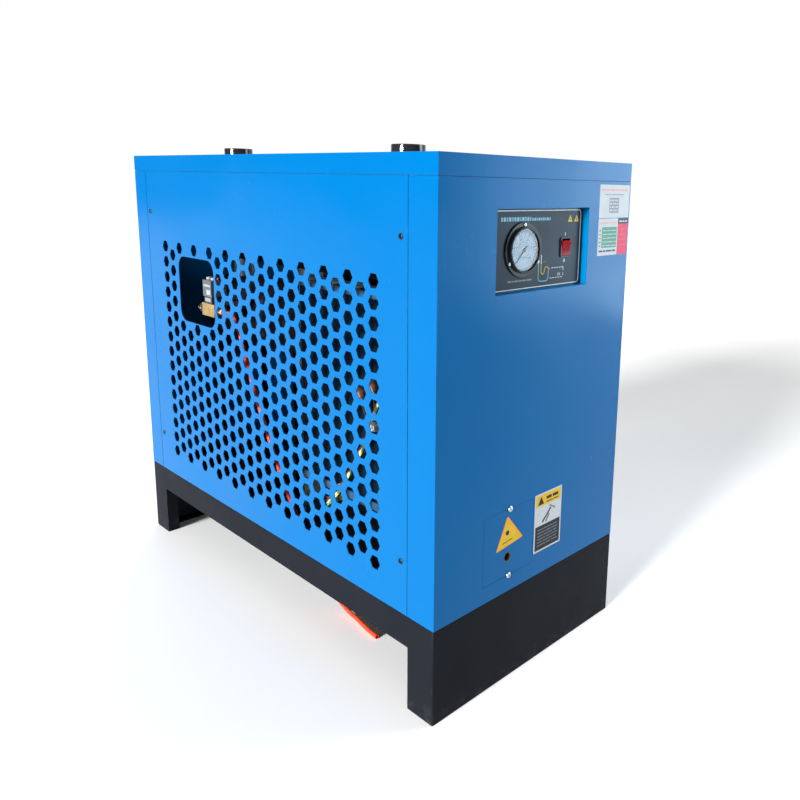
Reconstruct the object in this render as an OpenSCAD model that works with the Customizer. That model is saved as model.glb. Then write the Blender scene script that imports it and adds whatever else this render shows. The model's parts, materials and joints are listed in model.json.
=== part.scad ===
// Refrigerated air dryer: a sheet-metal cabinet on a black base, with its refrigeration circuit,
// air-to-air heat exchanger, condensate drain and front controls inside.
// Millimetres. X runs left to right, Y from front to rear, Z up. The origin is on the floor,
// under the middle of the cabinet.

/* [Cabinet] */
// Outside width, left to right
body_w = 460; // [456:1:464]
// Outside depth, front to rear
body_d = 958; // [954:1:962]
// Height of the lid's top above the floor
body_h = 850; // [846:1:854]
// Height of the black base
base_h = 158; // [156:1:160]
// Height of the lid's skirt
lid_h = 31; // [27:1:35]
// Thickness of the cabinet's sheet
sheet_t = 1.5; // [1.2:0.1:2]
// Gap shown at each seam between two sheets
seam = 1; // [0.6:0.1:1.4]

/* [Base] */
// Thickness of the base's plate
base_t = 2.5; // [2:0.5:3]
// Width of each leg along the side
leg_w = 58.6; // [50:0.2:66]
// Height of the fork opening under each side skirt
skirt_z = 106; // [100:1:112]
// Width of the flanges folded into the base
base_lip = 25; // [20:1:28]

/* [Side panels] */
// Front edge of the removable side panels
side_front = -419; // [-421:0.5:-417]
// Rear edge of the removable side panels
side_rear = 426; // [424:0.5:428]
// Width across the flats of one hexagonal hole
hex_flats = 22; // [18:0.5:24]
// Distance from one column of holes to the next
hex_step = 31.4; // [30:0.1:32]
// Distance from one row of holes to the next
hex_row = 32; // [31:0.1:33]
// Number of columns of holes
hex_cols = 23; // [21:2:23]
// Number of rows in the taller columns
hex_rows = 15; // [13:1:15]
// Height of the top row of holes
hex_top = 666; // [660:1:670]
// Width of the hand window over the drain
window_w = 146; // [140:1:150]
// Height of the hand window over the drain
window_h = 132; // [128:1:134]
// Corner radius of the hand window
window_r = 24; // [16:1:30]

/* [Front controls] */
// Width of the sunk control panel
recess_w = 224; // [220:1:228]
// Height of the sunk control panel
recess_h = 127; // [124:1:130]
// Depth of the sunk control panel
recess_depth = 13; // [12:0.5:16]
// Diameter of the gauge's flange
gauge_d = 85; // [80:1:88]
// Sweep of the gauge's needle, in degrees
gauge_sweep = 270; // [240:10:280]
// Travel of the rocker switch, in degrees
rocker_sweep = 20; // [16:1:20]

/* [Air side] */
// Outside diameter of the two air connections
socket_d = 59.6; // [58:0.2:62]
// Core diameter of the thread in the air connections
socket_bore = 44.8; // [40:0.2:46]
// Height that the air connections stand above the lid
socket_rise = 22; // [18:1:26]
// Radius of the insulated upper heat exchanger
precooler_r = 85; // [80:1:86]
// Radius of the insulated lower heat exchanger
evaporator_r = 75; // [70:1:76]

/* [Refrigeration] */
// Radius of the compressor's shell
compressor_r = 95; // [85:1:98]
// Height of the compressor's shell
compressor_h = 252; // [230:1:260]
// Radius of the condenser fan
fan_r = 128; // [110:1:130]
// Number of fan blades
fan_blade_count = 5; // [4:1:7]

/* [Drain] */
// Outside diameter of the drain hose
hose_d = 8; // [6:0.5:8]

/* [Hidden] */
$fn = 48;
x_out = body_w / 2;
y_out = body_d / 2;
seam_z = body_h - lid_h;
side_cy = (side_front + side_rear) / 2;
panel_z0 = base_h + seam / 2;
panel_z1 = seam_z - seam / 2;
front_fold = side_front - seam;
rear_fold = side_rear + seam;
post_x = x_out - 17;
screw_ys = [side_cy - 408, side_cy + 408];
screw_zs = [244.5, 735];
rear_screw_x = 200;
lid_screw_z = seam_z + 16;

// Hand window, over the drain valve
window_y = side_cy + 216.5;
window_z = hex_top - 81;

// Control panel and what sits in it
recess_x = -1.75;
recess_z = 712;
recess_wall = 1.2;
recess_y = -y_out + recess_depth;
plate_t = 1.6;
plate_y = recess_y - plate_t;
gauge_x = -42;
gauge_hole_r = 32;
gauge_screw_r = 38.4;
gauge_ring_r = 35.2;
// The dial's face, in front of the flange's back, and the lip that holds the window
gauge_face = 2.6;
gauge_lip = 5.9;
gauge_screw_angles = [90, 210, 330];
switch_x = 63;
switch_w = 26;
switch_h = 32;
switch_cut = [24.4, 30.4];
rocker_pivot = 3;

// Cable access plate in the front
access_x0 = -126;
access_w = 120;
access_z0 = 187;
access_h = 115;
cable_x = -69;
cable_z = 220;
cable_r = 9;

// Condenser and fan, just inside the left panel
cond_lo = [-200, -400, 283];
cond_hi = [-156, -100, 643];
fan_y = -250;
fan_z = 463;
shroud_x = cond_hi[0];
shroud_d = 40;
guard_x = shroud_x + shroud_d + 10;
motor_x = guard_x + 8;

// Compressor
comp_x = 80;
comp_y = -150;
comp_foot_z = base_h + 20;
comp_z = comp_foot_z + 3;

// Air side
air_x = -50;
precooler_z = 715;
precooler_y0 = -262;
precooler_y1 = 412;
evaporator_z = 520;
evaporator_y0 = 20;
evaporator_y1 = 412;
port_ys = [-211, 361];
link_ys = [90, 350];
socket_z0 = body_h - 18;
socket_z1 = body_h + socket_rise;
socket_depth = 30;
sep_x = 110;
sep_y = 290;
sep_z0 = 205;
sep_z1 = 520;
sep_r = 60;

// Condensate drain, behind the hand window
drain_x = -198;
drain_y = 208;
drain_z = 546;
fitting_y = 170;
ball_x = -174;
timer_z0 = 575;
timer_z1 = 608;
knob_y = [drain_y - 9, drain_y + 9];
hose_pan = [-186, -84];
pan_grommet_r = 9;

// Route of the drain hose: out of its fitting, across to the floor pan, through it, and on to the floor
hose_route = [
    [-198, 179, 546], [-198, 170, 546], [-198, 160, 546], [-198, 150, 545.5], [-198, 140, 543],
    [-199, 130, 537.5], [-199, 121, 529], [-199.5, 113, 517], [-200, 105, 501], [-200, 96, 480],
    [-200, 82, 446], [-200, 60, 402], [-200, 36, 359],
    [-200, 12, 318], [-200, -12, 278], [-199, -34, 240], [-196, -54, 208], [-191, -70, 184],
    [-187, -81, 166], [-184, -88, 148], [-180, -96, 122], [-173, -105, 92], [-164, -115, 62],
    [-154, -124, 38], [-145, -134, 20], [-140, -147, 8], [-139, -162, 4.4], [-141, -178, 4.4],
    [-145, -200, 4.4], [-148, -222, 4.4], [-150, -245, 4.4]
];

// Route of the wires between the front controls and the compressor, in front of the condenser
wire_route = [
    [40, -428, 470], [-20, -436, 496], [-90, -436, 516], [-150, -428, 524], [-190, -418, 522],
    [-205.5, -398, 518], [-207, -366, 508], [-211, -336, 486], [-213, -320, 452], [-212, -302, 414], [-211, -280, 378],
    [-210, -252, 338], [-208, -222, 300], [-206, -190, 268], [-192, -160, 247], [-150, -136, 238],
    [-100, -130, 236], [-60, -140, 240], [-42, -150, 246]
];

// ---- Shapes that repeat ----

// A box from its low corner to its high corner
module block(lo, hi) {
    translate(lo) cube(hi - lo);
}

// A solid bar along +X, +Y or +Z from a point
module bar_x(at, r, l) {
    translate(at) rotate([0, 90, 0]) cylinder(r = r, h = l);
}

module bar_y(at, r, l) {
    translate(at) rotate([-90, 0, 0]) cylinder(r = r, h = l);
}

module bar_z(at, r, l) {
    translate(at) cylinder(r = r, h = l);
}

// A flat sheet facing the sides: the outline is drawn in Y and Z, and the sheet starts at x
module side_sheet(x, t) {
    translate([x, 0, 0]) rotate([90, 0, 90]) linear_extrude(t) children();
}

// A flat sheet facing front and rear: the outline is drawn in X and Z, and the sheet ends at y
module front_sheet(y, t) {
    translate([0, y, 0]) rotate([90, 0, 0]) linear_extrude(t) children();
}

// Turns a shape so that its own +Z points out of the front
module facing_front(at) {
    translate(at) rotate([90, 0, 0]) children();
}

module rounded_rect(w, h, r) {
    square([w - 2 * r, h], center = true);
    square([w, h - 2 * r], center = true);
    for (sx = [-1, 1], sy = [-1, 1])
        translate([sx * (w / 2 - r), sy * (h / 2 - r)]) circle(r = r);
}

// Rounds the corners of a bent pipe's line: r back from each corner, in k steps
function unit(v) = v / norm(v);
function corner(a, b, c, r, k) =
    let (s = b + unit(a - b) * r, e = b + unit(c - b) * r)
    [for (i = [0 : k]) let (t = i / k) (1 - t) * (1 - t) * s + 2 * t * (1 - t) * b + t * t * e];
function bent(p, r, k = 4) = concat(
    [p[0]],
    [for (i = [1 : len(p) - 2]) each corner(p[i - 1], p[i], p[i + 1], r, k)],
    [p[len(p) - 1]]
);

// A smooth curve through every point of a route, with k steps between two points
function between(a, b, c, d, t) =
    0.5 * ((2 * b) + (c - a) * t + (2 * a - 5 * b + 4 * c - d) * t * t
        + (3 * b - a - 3 * c + d) * t * t * t);
function smooth(p, k) = let (n = len(p)) concat(
    [for (i = [0 : n - 2], j = [0 : k - 1])
        between(p[max(i - 1, 0)], p[i], p[i + 1], p[min(i + 2, n - 1)], j / k)],
    [p[n - 1]]
);

// A round tube's solid swept along a line of points
function heading(p, i) = unit(p[min(i + 1, len(p) - 1)] - p[max(i - 1, 0)]);
function square_to(v, t) = unit(v - (v * t) * t);
function sides_of(p) = let (t0 = heading(p, 0), up = abs(t0[2]) < 0.9 ? [0, 0, 1] : [1, 0, 0])
    [for (i = 0, v = square_to(up, t0); i < len(p);
        i = i + 1, v = i < len(p) ? square_to(v, heading(p, i)) : v) v];
module swept(p, r, n) {
    v = sides_of(p);
    points = [for (i = [0 : len(p) - 1], k = [0 : n - 1])
        let (w = cross(heading(p, i), v[i]), a = 360 * k / n)
        p[i] + r * (cos(a) * v[i] + sin(a) * w)];
    walls = [for (i = [0 : len(p) - 2], k = [0 : n - 1])
        let (a = i * n + k, b = i * n + (k + 1) % n) [a, a + n, b + n, b]];
    first = [for (k = [0 : n - 1]) k];
    last = [for (k = [n - 1 : -1 : 0]) (len(p) - 1) * n + k];
    polyhedron(points, concat([first], walls, [last]));
}

// A pan-headed screw pointing into a panel, its head on the outside, along its own -Z
module screw(head_r, head_h, shank_r, shank_l) {
    rotate_extrude() polygon([[0, -shank_l], [shank_r, -shank_l], [shank_r, 0], [head_r, 0],
        [head_r, head_h * 0.45], [head_r * 0.8, head_h * 0.85], [head_r * 0.45, head_h], [0, head_h]]);
}

// ---- Base ----

module base_end() {
    block([-x_out, -y_out, 0], [x_out, -y_out + base_t, base_h]);
    block([-x_out + 30, -y_out, 0], [x_out - 30, -y_out + 30, base_t]);
    block([-x_out + 30, -y_out, base_h - 2 * base_t], [x_out - 30, -y_out + 30, base_h - base_t]);
}

module base_side() {
    a = y_out - base_t;
    b = y_out - leg_w;
    side_sheet(-x_out, base_t)
        polygon([[-a, 0], [-b, 0], [-b, skirt_z], [b, skirt_z], [b, 0], [a, 0], [a, base_h], [-a, base_h]]);
    block([-x_out, -b, skirt_z], [-x_out + base_lip, b, skirt_z + base_t]);
    block([-x_out, 32 - y_out, base_h - 2 * base_t], [-x_out + 29, y_out - 32, base_h - base_t]);
    for (s = [0, 1]) mirror([0, s, 0]) {
        block([-x_out, b, 0], [-x_out + base_lip, b + base_t, skirt_z + base_t]);
        block([-x_out, b, 0], [-x_out + base_lip, a, base_t]);
    }
}

module base_front() {
    color([0.10, 0.11, 0.12]) base_end();
}

module base_rear() {
    color([0.10, 0.11, 0.12]) mirror([0, 1, 0]) base_end();
}

module base_side_left() {
    color([0.10, 0.11, 0.12]) base_side();
}

module base_side_right() {
    color([0.10, 0.11, 0.12]) mirror([1, 0, 0]) base_side();
}

module floor_pan() {
    color([0.12, 0.13, 0.14]) difference() {
        block([-x_out + base_t, -y_out + base_t, base_h - base_t], [x_out - base_t, y_out - base_t, base_h]);
        bar_z([hose_pan[0], hose_pan[1], 0], pan_grommet_r, base_h + 1);
        for (sx = [-1, 1], sy = [-1, 1])
            bar_z([comp_x + sx * 85, comp_y + sy * 85, 0], 5, base_h + 1);
    }
}

// ---- Cabinet ----

// One folded column behind a corner, from the floor pan to the lid
module corner_post(y_screw, rear) {
    difference() {
        union() {
            block([-post_x, y_screw - 12, base_h], [-post_x + 2, y_out - 3, body_h - sheet_t]);
            block([-post_x, y_out - 5, base_h], [-post_x + 23, y_out - 3, body_h - sheet_t]);
        }
        for (z = screw_zs) bar_x([-post_x - 1, y_screw, z], 2.6, 4);
        if (rear) for (z = [screw_zs[0], screw_zs[1], lid_screw_z])
            bar_y([-rear_screw_x, y_out - 6, z], 2.6, 4);
    }
}

module corner_posts() {
    color([0.55, 0.58, 0.60]) for (s = [0, 1]) mirror([s, 0, 0]) {
        corner_post(screw_ys[1], true);
        mirror([0, 1, 0]) corner_post(-screw_ys[0], false);
    }
}

// An end panel that wraps both corners, with its outline's openings as children
module end_panel(fold) {
    front_sheet(-y_out + sheet_t, sheet_t) difference() {
        translate([-x_out, panel_z0]) square([2 * x_out, panel_z1 - panel_z0]);
        children();
    }
    for (s = [0, 1]) mirror([s, 0, 0]) {
        block([-x_out, -y_out, panel_z0], [-x_out + sheet_t, fold, panel_z1]);
        block([-x_out, fold - sheet_t, panel_z0], [-x_out + 12, fold, panel_z1]);
    }
}

module front_panel() {
    color([0.10, 0.42, 0.72]) end_panel(front_fold) {
        translate([recess_x, recess_z]) square([recess_w, recess_h], center = true);
        translate([access_x0 - 0.5, access_z0 - 0.5]) square([access_w + 1, access_h + 1]);
        for (z = [access_z0, access_z0 + access_h])
            translate([access_x0 + access_w / 2, z]) circle(r = 2.6);
    }
}

module rear_panel() {
    color([0.05, 0.55, 0.90]) mirror([0, 1, 0]) end_panel(-rear_fold) {
        for (x = [-rear_screw_x, rear_screw_x], z = screw_zs) translate([x, z]) circle(r = 2.6);
    }
}

function in_window(y, z) = abs(y - window_y) < window_w / 2 + 6 && abs(z - window_z) < window_h / 2 + 6;

// The staggered field of hexagonal holes, with the hand window's own holes left out where asked
module hex_field(with_window) {
    y0 = side_cy + hex_step * (hex_cols - 1) / 2;
    for (c = [0 : hex_cols - 1], r = [0 : hex_rows - 1 - c % 2]) {
        y = y0 - c * hex_step;
        z = hex_top - (r + (c % 2) / 2) * hex_row;
        if (!(with_window && in_window(y, z)))
            translate([y, z]) circle(r = hex_flats / sqrt(3), $fn = 6);
    }
}

module side_panel(with_window) {
    y0 = side_front + seam / 4;
    y1 = side_rear - seam / 4;
    lip = 14;
    side_sheet(-x_out, sheet_t) difference() {
        translate([y0, panel_z0]) square([y1 - y0, panel_z1 - panel_z0]);
        hex_field(with_window);
        if (with_window) translate([window_y, window_z]) rounded_rect(window_w, window_h, window_r);
        for (y = screw_ys, z = screw_zs) translate([y, z]) circle(r = 2.6);
    }
    for (y = [y0, y1 - sheet_t])
        block([-x_out, y, panel_z0], [-x_out + lip, y + sheet_t, panel_z1]);
    for (z = [panel_z0, panel_z1 - sheet_t])
        block([-x_out, y0, z], [-x_out + lip, y1, z + sheet_t]);
}

module left_side_panel() {
    color([0.00, 0.63, 0.98]) side_panel(true);
}

module right_side_panel() {
    color([0.00, 0.63, 0.98]) mirror([1, 0, 0]) side_panel(false);
}

module top_cover() {
    color([0.00, 0.63, 0.98]) difference() {
        block([-x_out, -y_out, seam_z], [x_out, y_out, body_h]);
        block([-x_out + sheet_t, -y_out + sheet_t, seam_z - 1], [x_out - sheet_t, y_out - sheet_t, body_h - sheet_t]);
        for (y = port_ys) bar_z([air_x, y, body_h - 5], socket_d / 2 + 1.5, 10);
        for (x = [-rear_screw_x, rear_screw_x]) bar_y([x, y_out - 5, lid_screw_z], 2.6, 10);
    }
}

module panel_screws() {
    color([0.08, 0.09, 0.11]) {
        for (s = [0, 1], y = screw_ys, z = screw_zs)
            mirror([s, 0, 0]) translate([-x_out, y, z]) rotate([0, -90, 0]) screw(4.6, 1.8, 2.4, 22);
        for (x = [-rear_screw_x, rear_screw_x], z = [screw_zs[0], screw_zs[1], lid_screw_z])
            translate([x, y_out, z]) rotate([-90, 0, 0]) screw(4.6, 1.8, 2.4, 8);
    }
}

// ---- Front controls ----

module recess_outline(grow) {
    translate([recess_x, recess_z]) square([recess_w + 2 * grow, recess_h + 2 * grow], center = true);
}

module plate_cutouts() {
    translate([gauge_x, recess_z]) {
        circle(r = gauge_hole_r);
        for (a = gauge_screw_angles) rotate(a) translate([gauge_screw_r, 0]) circle(r = 1.7);
    }
    translate([switch_x, recess_z]) square(switch_cut, center = true);
}

module control_recess() {
    front = -y_out + sheet_t;
    color([0.00, 0.55, 0.95]) {
        front_sheet(front + recess_wall, recess_wall) difference() {
            recess_outline(12);
            recess_outline(0);
        }
        front_sheet(recess_y + recess_wall, recess_y + recess_wall - front) difference() {
            recess_outline(recess_wall);
            recess_outline(0);
        }
        front_sheet(recess_y + recess_wall, recess_wall) difference() {
            recess_outline(recess_wall);
            plate_cutouts();
        }
    }
}

module control_plate() {
    color([0.17, 0.19, 0.22]) front_sheet(recess_y, plate_t) difference() {
        recess_outline(-2);
        plate_cutouts();
    }
}

module access_plate() {
    y = -y_out + sheet_t;
    mid = access_x0 + access_w / 2;
    color([0.10, 0.42, 0.72]) {
        front_sheet(y, sheet_t) difference() {
            translate([access_x0, access_z0]) square([access_w, access_h]);
            translate([cable_x, cable_z]) circle(r = cable_r);
            for (z = [access_z0, access_z0 + access_h]) translate([mid, z]) circle(r = 2.6);
        }
        for (z = [access_z0 - 12, access_z0 + access_h - 8])
            difference() {
                block([mid - 15, y, z], [mid + 15, y + sheet_t, z + 20]);
                for (s = [0, 1]) bar_y([mid, y - 1, access_z0 + s * access_h], 2.2, 4);
            }
    }
}

// The two screws of the access plate, and the three of the gauge
module bright_screws() {
    color([0.78, 0.80, 0.82]) {
        for (z = [access_z0, access_z0 + access_h])
            facing_front([access_x0 + access_w / 2, -y_out, z]) screw(5, 2.6, 2, 6);
        gauge_at() for (a = gauge_screw_angles)
            rotate(a) translate([gauge_screw_r, 0, 2.6]) screw(3, 1.7, 1.5, 6);
    }
}

// A rubber grommet along its own Z: a groove of the sheet's thickness sits in the hole
module grommet(hole_r, bore_r, t) {
    rotate_extrude() polygon([[bore_r, -t / 2 - 2], [hole_r + 2, -t / 2 - 2], [hole_r + 2, -t / 2],
        [hole_r, -t / 2], [hole_r, t / 2], [hole_r + 2, t / 2], [hole_r + 2, t / 2 + 1.5], [bore_r, t / 2 + 1.5]]);
}

module grommets() {
    color([0.07, 0.07, 0.08]) {
        translate([hose_pan[0], hose_pan[1], base_h - base_t / 2])
            grommet(pan_grommet_r, 6.5, base_t);
        facing_front([cable_x, -y_out + sheet_t / 2, cable_z])
            rotate_extrude() polygon([[7.2, -4], [11, -4], [11, -sheet_t / 2], [cable_r, -sheet_t / 2],
                [cable_r, sheet_t / 2], [7.2, sheet_t / 2]]);
    }
}

module gauge_at() {
    facing_front([gauge_x, plate_y, recess_z]) children();
}

module gauge_case() {
    r = gauge_hole_r - 0.4;
    ring = gauge_ring_r;
    color([0.09, 0.10, 0.11]) gauge_at() difference() {
        union() {
            rotate_extrude() polygon([[0, -34], [r - 3, -34], [r, -31], [r, 0], [gauge_d / 2, 0],
                [gauge_d / 2, 2], [gauge_d / 2 - 0.6, 2.6], [ring, 2.6], [ring, 6.6], [ring - 1, 7.4],
                [ring - 2.8, 7.4], [ring - 2.8, gauge_lip], [ring - 1.6, gauge_lip],
                [ring - 1.6, gauge_face - 1], [29, gauge_face - 1], [29, -6], [0, -6]]);
            translate([0, 0, -44]) cylinder(r = 7, h = 10.5, $fn = 6);
            translate([0, 0, -58]) cylinder(r = 5, h = 15);
        }
        for (a = gauge_screw_angles) rotate(a) translate([gauge_screw_r, 0, -1]) cylinder(r = 1.7, h = 5);
        translate([0, 0, -8]) cylinder(r = 1.06, h = 10);
    }
}

module gauge_dial() {
    color([0.93, 0.95, 0.97]) gauge_at() difference() {
        translate([0, 0, gauge_face - 1]) cylinder(r = gauge_ring_r - 1.8, h = 1);
        translate([0, 0, gauge_face - 2]) cylinder(r = 1.6, h = 3);
    }
}

// The needle rests at the zero mark, down and to the left
module gauge_needle() {
    color([0.08, 0.08, 0.09]) gauge_at() rotate(gauge_sweep / 2) {
        translate([0, 0, gauge_face + 0.6]) linear_extrude(0.6)
            polygon([[-1.3, -9], [1.3, -9], [1.1, 0], [0.35, 27], [-0.35, 27], [-1.1, 0]]);
        translate([0, 0, gauge_face + 0.5]) cylinder(r = 3.2, h = 0.9);
        translate([0, 0, -5]) cylinder(r = 1, h = gauge_face + 6);
    }
}

module gauge_lens() {
    color([0.85, 0.92, 0.97, 0.35]) gauge_at() translate([0, 0, gauge_lip - 1.4])
        cylinder(r = gauge_ring_r - 1.8, h = 1.3);
}

module switch_at() {
    facing_front([switch_x, plate_y, recess_z]) children();
}

module switch_bezel() {
    color([0.07, 0.07, 0.08]) switch_at() difference() {
        union() {
            linear_extrude(2.2) rounded_rect(switch_w, switch_h, 2);
            translate([0, 0, -11]) cube([switch_cut[0] - 0.4, switch_cut[1] - 0.4, 22.1], center = true);
            for (y = [-8, 0, 8]) translate([0, y, -26]) cube([0.8, 4.8, 9], center = true);
        }
        translate([0, 0, -4]) cube([21.4, 27.6, 16], center = true);
        bar_x([-12, 0, -rocker_pivot], 1.28, 24);
    }
}

// The rocker, with its upper end out at rest; it turns about a pin along X
module switch_rocker() {
    w = 20.6;
    color([0.85, 0.05, 0.08]) switch_at() translate([0, 0, -rocker_pivot]) rotate([rocker_sweep / 2, 0, 0]) {
        translate([-w / 2, 0, 0]) rotate([90, 0, 90]) linear_extrude(w)
            polygon([[-12.2, 7.5], [-11.4, 0.5], [-6, -5], [6, -5], [11.4, 0.5], [12.2, 7.5], [0, 5.6]]);
        bar_x([-11.3, 0, 0], 1.2, 22.6);
    }
}

module electrical_box() {
    lo = [40, -446, 340];
    hi = [200, -392, 560];
    color([0.62, 0.64, 0.66]) difference() {
        block(lo, hi);
        block(lo + [1.5, -1, 1.5], hi - [1.5, 1.5, 1.5]);
        bar_x([lo[0] - 1, -428, 470], 7, 4);
    }
}

module contactor() {
    color([0.16, 0.17, 0.18]) {
        block([110, -438, 430], [155, -393.5, 505]);
        block([116, -444, 445], [149, -438, 490]);
        for (z = [433, 495]) block([113, -442, z], [152, -438, z + 7]);
    }
}

module run_capacitor() {
    color([0.80, 0.80, 0.78]) {
        bar_z([80, -417, 360], 20, 70);
        for (x = [74, 86]) block([x - 0.5, -420, 430], [x + 0.5, -414, 440]);
    }
}

// Three wires side by side, each with its own slack
module wiring() {
    color([0.62, 0.60, 0.12]) for (k = [-1, 0, 1])
        swept(smooth([for (i = [0 : len(wire_route) - 1])
            wire_route[i] + [0, 0, 5.2 * k]], 1), 1.5, 8);
}

// ---- Condenser and fan ----

module condenser_frame() {
    lo = cond_lo;
    hi = cond_hi;
    color([0.60, 0.58, 0.54]) {
        for (y = [lo[1], hi[1] - 2]) block([lo[0], y, base_h], [hi[0], y + 2, hi[2]]);
        block([lo[0], lo[1] + 2, hi[2] - 12], [hi[0], hi[1] - 2, hi[2]]);
        block([lo[0], lo[1] + 2, lo[2]], [hi[0], hi[1] - 2, lo[2] + 14]);
    }
}

// The finned block, as one block with grooves that show the fins
module condenser_fins() {
    lo = cond_lo + [4, 20, 14];
    hi = cond_hi - [4, 20, 12];
    count = 16;
    step = (hi[1] - lo[1]) / count;
    color([0.12, 0.18, 0.19]) difference() {
        block(lo, hi);
        for (k = [0.5 : 1 : count - 0.5])
            block([lo[0] - 1, lo[1] + step * k - 3, lo[2] + 4], [lo[0] + 4, lo[1] + step * k + 3, hi[2] - 4]);
    }
}

// The bends that join the tubes at both ends of the finned block
module condenser_tubes() {
    rows = 8;
    step = (cond_hi[2] - cond_lo[2] - 60) / rows;
    color([0.72, 0.42, 0.26]) for (s = [0, 1], k = [0 : rows - 2])
        translate([(cond_lo[0] + cond_hi[0]) / 2,
            s == 0 ? cond_lo[1] + 20 : cond_hi[1] - 20,
            cond_lo[2] + 40 + step * (k + 0.5 * s)])
            rotate([0, -90, 0]) rotate([0, 0, s == 0 ? 180 : 0])
                rotate_extrude(angle = 180) translate([step / 4, 0]) circle(r = 4);
}

module fan_shroud() {
    lo = [shroud_x, cond_lo[1], cond_lo[2]];
    hi = [shroud_x + shroud_d, cond_hi[1], cond_hi[2]];
    t = 1.5;
    color([0.13, 0.14, 0.15]) {
        difference() {
            block(lo, hi);
            block(lo + [-1, t, t], hi - [t, t, t]);
            bar_x([lo[0] - 1, fan_y, fan_z], fan_r + 6, shroud_d + 2);
        }
        difference() {
            bar_x([hi[0] - 22, fan_y, fan_z], fan_r + 7.5, 22);
            bar_x([hi[0] - 23, fan_y, fan_z], fan_r + 6, 24);
        }
    }
}

module wire_ring(r) {
    translate([guard_x, fan_y, fan_z]) rotate([0, 90, 0])
        rotate_extrude() translate([r, 0]) circle(r = 1.6);
}

// The wire guard that also carries the fan's motor
module fan_guard() {
    foot = fan_r + 14;
    color([0.20, 0.21, 0.22]) {
        for (r = [50, 74, 98, 122]) wire_ring(r);
        for (a = [45 : 90 : 315]) translate([guard_x, fan_y, fan_z]) rotate([a, 0, 0]) {
            bar_y([0, 44, 0], 2, foot - 42);
            bar_x([-10, foot, 0], 3, 12);
            bar_x([0, 44, 0], 2, 14);
        }
    }
}

module fan_motor() {
    color([0.22, 0.23, 0.25]) difference() {
        union() {
            bar_x([motor_x, fan_y, fan_z], 38, 46);
            bar_x([motor_x - 12, fan_y, fan_z], 14, 13);
            bar_x([motor_x + 45, fan_y, fan_z], 24, 12);
        }
        bar_x([motor_x - 13, fan_y, fan_z], 4.06, 40);
        for (a = [45 : 90 : 315]) translate([motor_x, fan_y, fan_z]) rotate([a, 0, 0])
            bar_x([-1, 44, 0], 8, 60);
    }
}

module fan_shaft() {
    color([0.70, 0.72, 0.74]) bar_x([motor_x - 50, fan_y, fan_z], 4, 76);
}

module fan_blades() {
    hub_x = motor_x - 44;
    color([0.30, 0.32, 0.34]) difference() {
        union() {
            bar_x([hub_x, fan_y, fan_z], 24, 22);
            for (k = [0 : fan_blade_count - 1]) intersection() {
                translate([hub_x + 11, fan_y, fan_z]) rotate([k * 360 / fan_blade_count, 0, 0])
                    translate([0, 0, 20]) rotate([0, 0, 28]) block([-1, -34, 0], [1, 34, fan_r]);
                bar_x([hub_x - 20, fan_y, fan_z], fan_r, 60);
            }
        }
        bar_x([hub_x - 1, fan_y, fan_z], 4, 24);
    }
}

// ---- Compressor ----

module compressor_shell() {
    r = compressor_r;
    h = compressor_h;
    k = 42;
    color([0.06, 0.06, 0.07]) translate([comp_x, comp_y, comp_z]) {
        rotate_extrude() {
            square([r - k, h]);
            translate([0, k]) square([r, h - 2 * k]);
            translate([r - k, k]) circle(r = k);
            translate([r - k, h - k]) circle(r = k);
        }
        translate([0, 0, h * 0.55]) cylinder(r = r + 2.5, h = 6);
        difference() {
            translate([-100, -100, -3]) cube([200, 200, 3]);
            for (sx = [-1, 1], sy = [-1, 1])
                bar_z([sx * 85, sy * 85, -5], 8, 10);
        }
    }
}

module at_feet() {
    for (sx = [-1, 1], sy = [-1, 1])
        translate([comp_x + sx * 85, comp_y + sy * 85, base_h]) children();
}

// Rubber feet: a block below the compressor's plate with a spigot up through it
module compressor_mounts() {
    color([0.05, 0.05, 0.05]) at_feet() rotate_extrude()
        polygon([[5.5, 0], [16, 0], [14, 10], [16, 20], [7.8, 20], [7.8, 24], [5.5, 24]]);
}

module compressor_bolts() {
    color([0.72, 0.73, 0.70]) at_feet() {
        translate([0, 0, -8]) cylinder(r = 4, h = 38);
        translate([0, 0, 24.2]) cylinder(r = 12, h = 1.6);
        translate([0, 0, 25.6]) cylinder(r = 7, h = 6, $fn = 6);
        translate([0, 0, -8]) cylinder(r = 7, h = 5.4, $fn = 6);
    }
}

module terminal_cover() {
    x = comp_x - compressor_r;
    color([0.10, 0.10, 0.11]) difference() {
        block([x - 26, comp_y - 32, 225], [x + 12, comp_y + 32, 290]);
        bar_z([comp_x, comp_y, 200], compressor_r + 0.2, 120);
    }
}

// ---- Refrigerant circuit ----

discharge_route = [[110, -120, comp_z + compressor_h], [110, -120, 480], [110, -60, 480],
    [-178, -60, 480], [-178, -60, 606], [-178, cond_hi[1], 606]];
liquid_route = [[-166, cond_hi[1], 310], [-166, -70, 310], [-120, -40, 310], [-120, -40, 192],
    [150, -40, 192], [150, 20, 192], [150, 20, 214]];
suction_route = [[-30, evaporator_y0, 548], [-30, -24, 548], [-30, -24, 320], [14, -84, 320]];

module refrigerant_lines() {
    color([0.72, 0.42, 0.26]) {
        swept(bent(discharge_route, 18), 5, 12);
        swept(bent(liquid_route, 16), 4, 12);
        swept(bent(suction_route, 24), 8, 12);
    }
}

module filter_drier() {
    color([0.72, 0.40, 0.24]) translate([150, 20, 0]) rotate_extrude()
        polygon([[0, 214], [7, 214], [7, 220], [22, 236], [22, 312], [7, 328], [7, 336], [0, 336]]);
}

function coil(c, r, turns, pitch, k) = [for (i = [0 : turns * k])
    let (a = 360 * i / k) [c[0] + r * cos(a), c[1] + r * sin(a), c[2] + pitch * i / k]];

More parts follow.
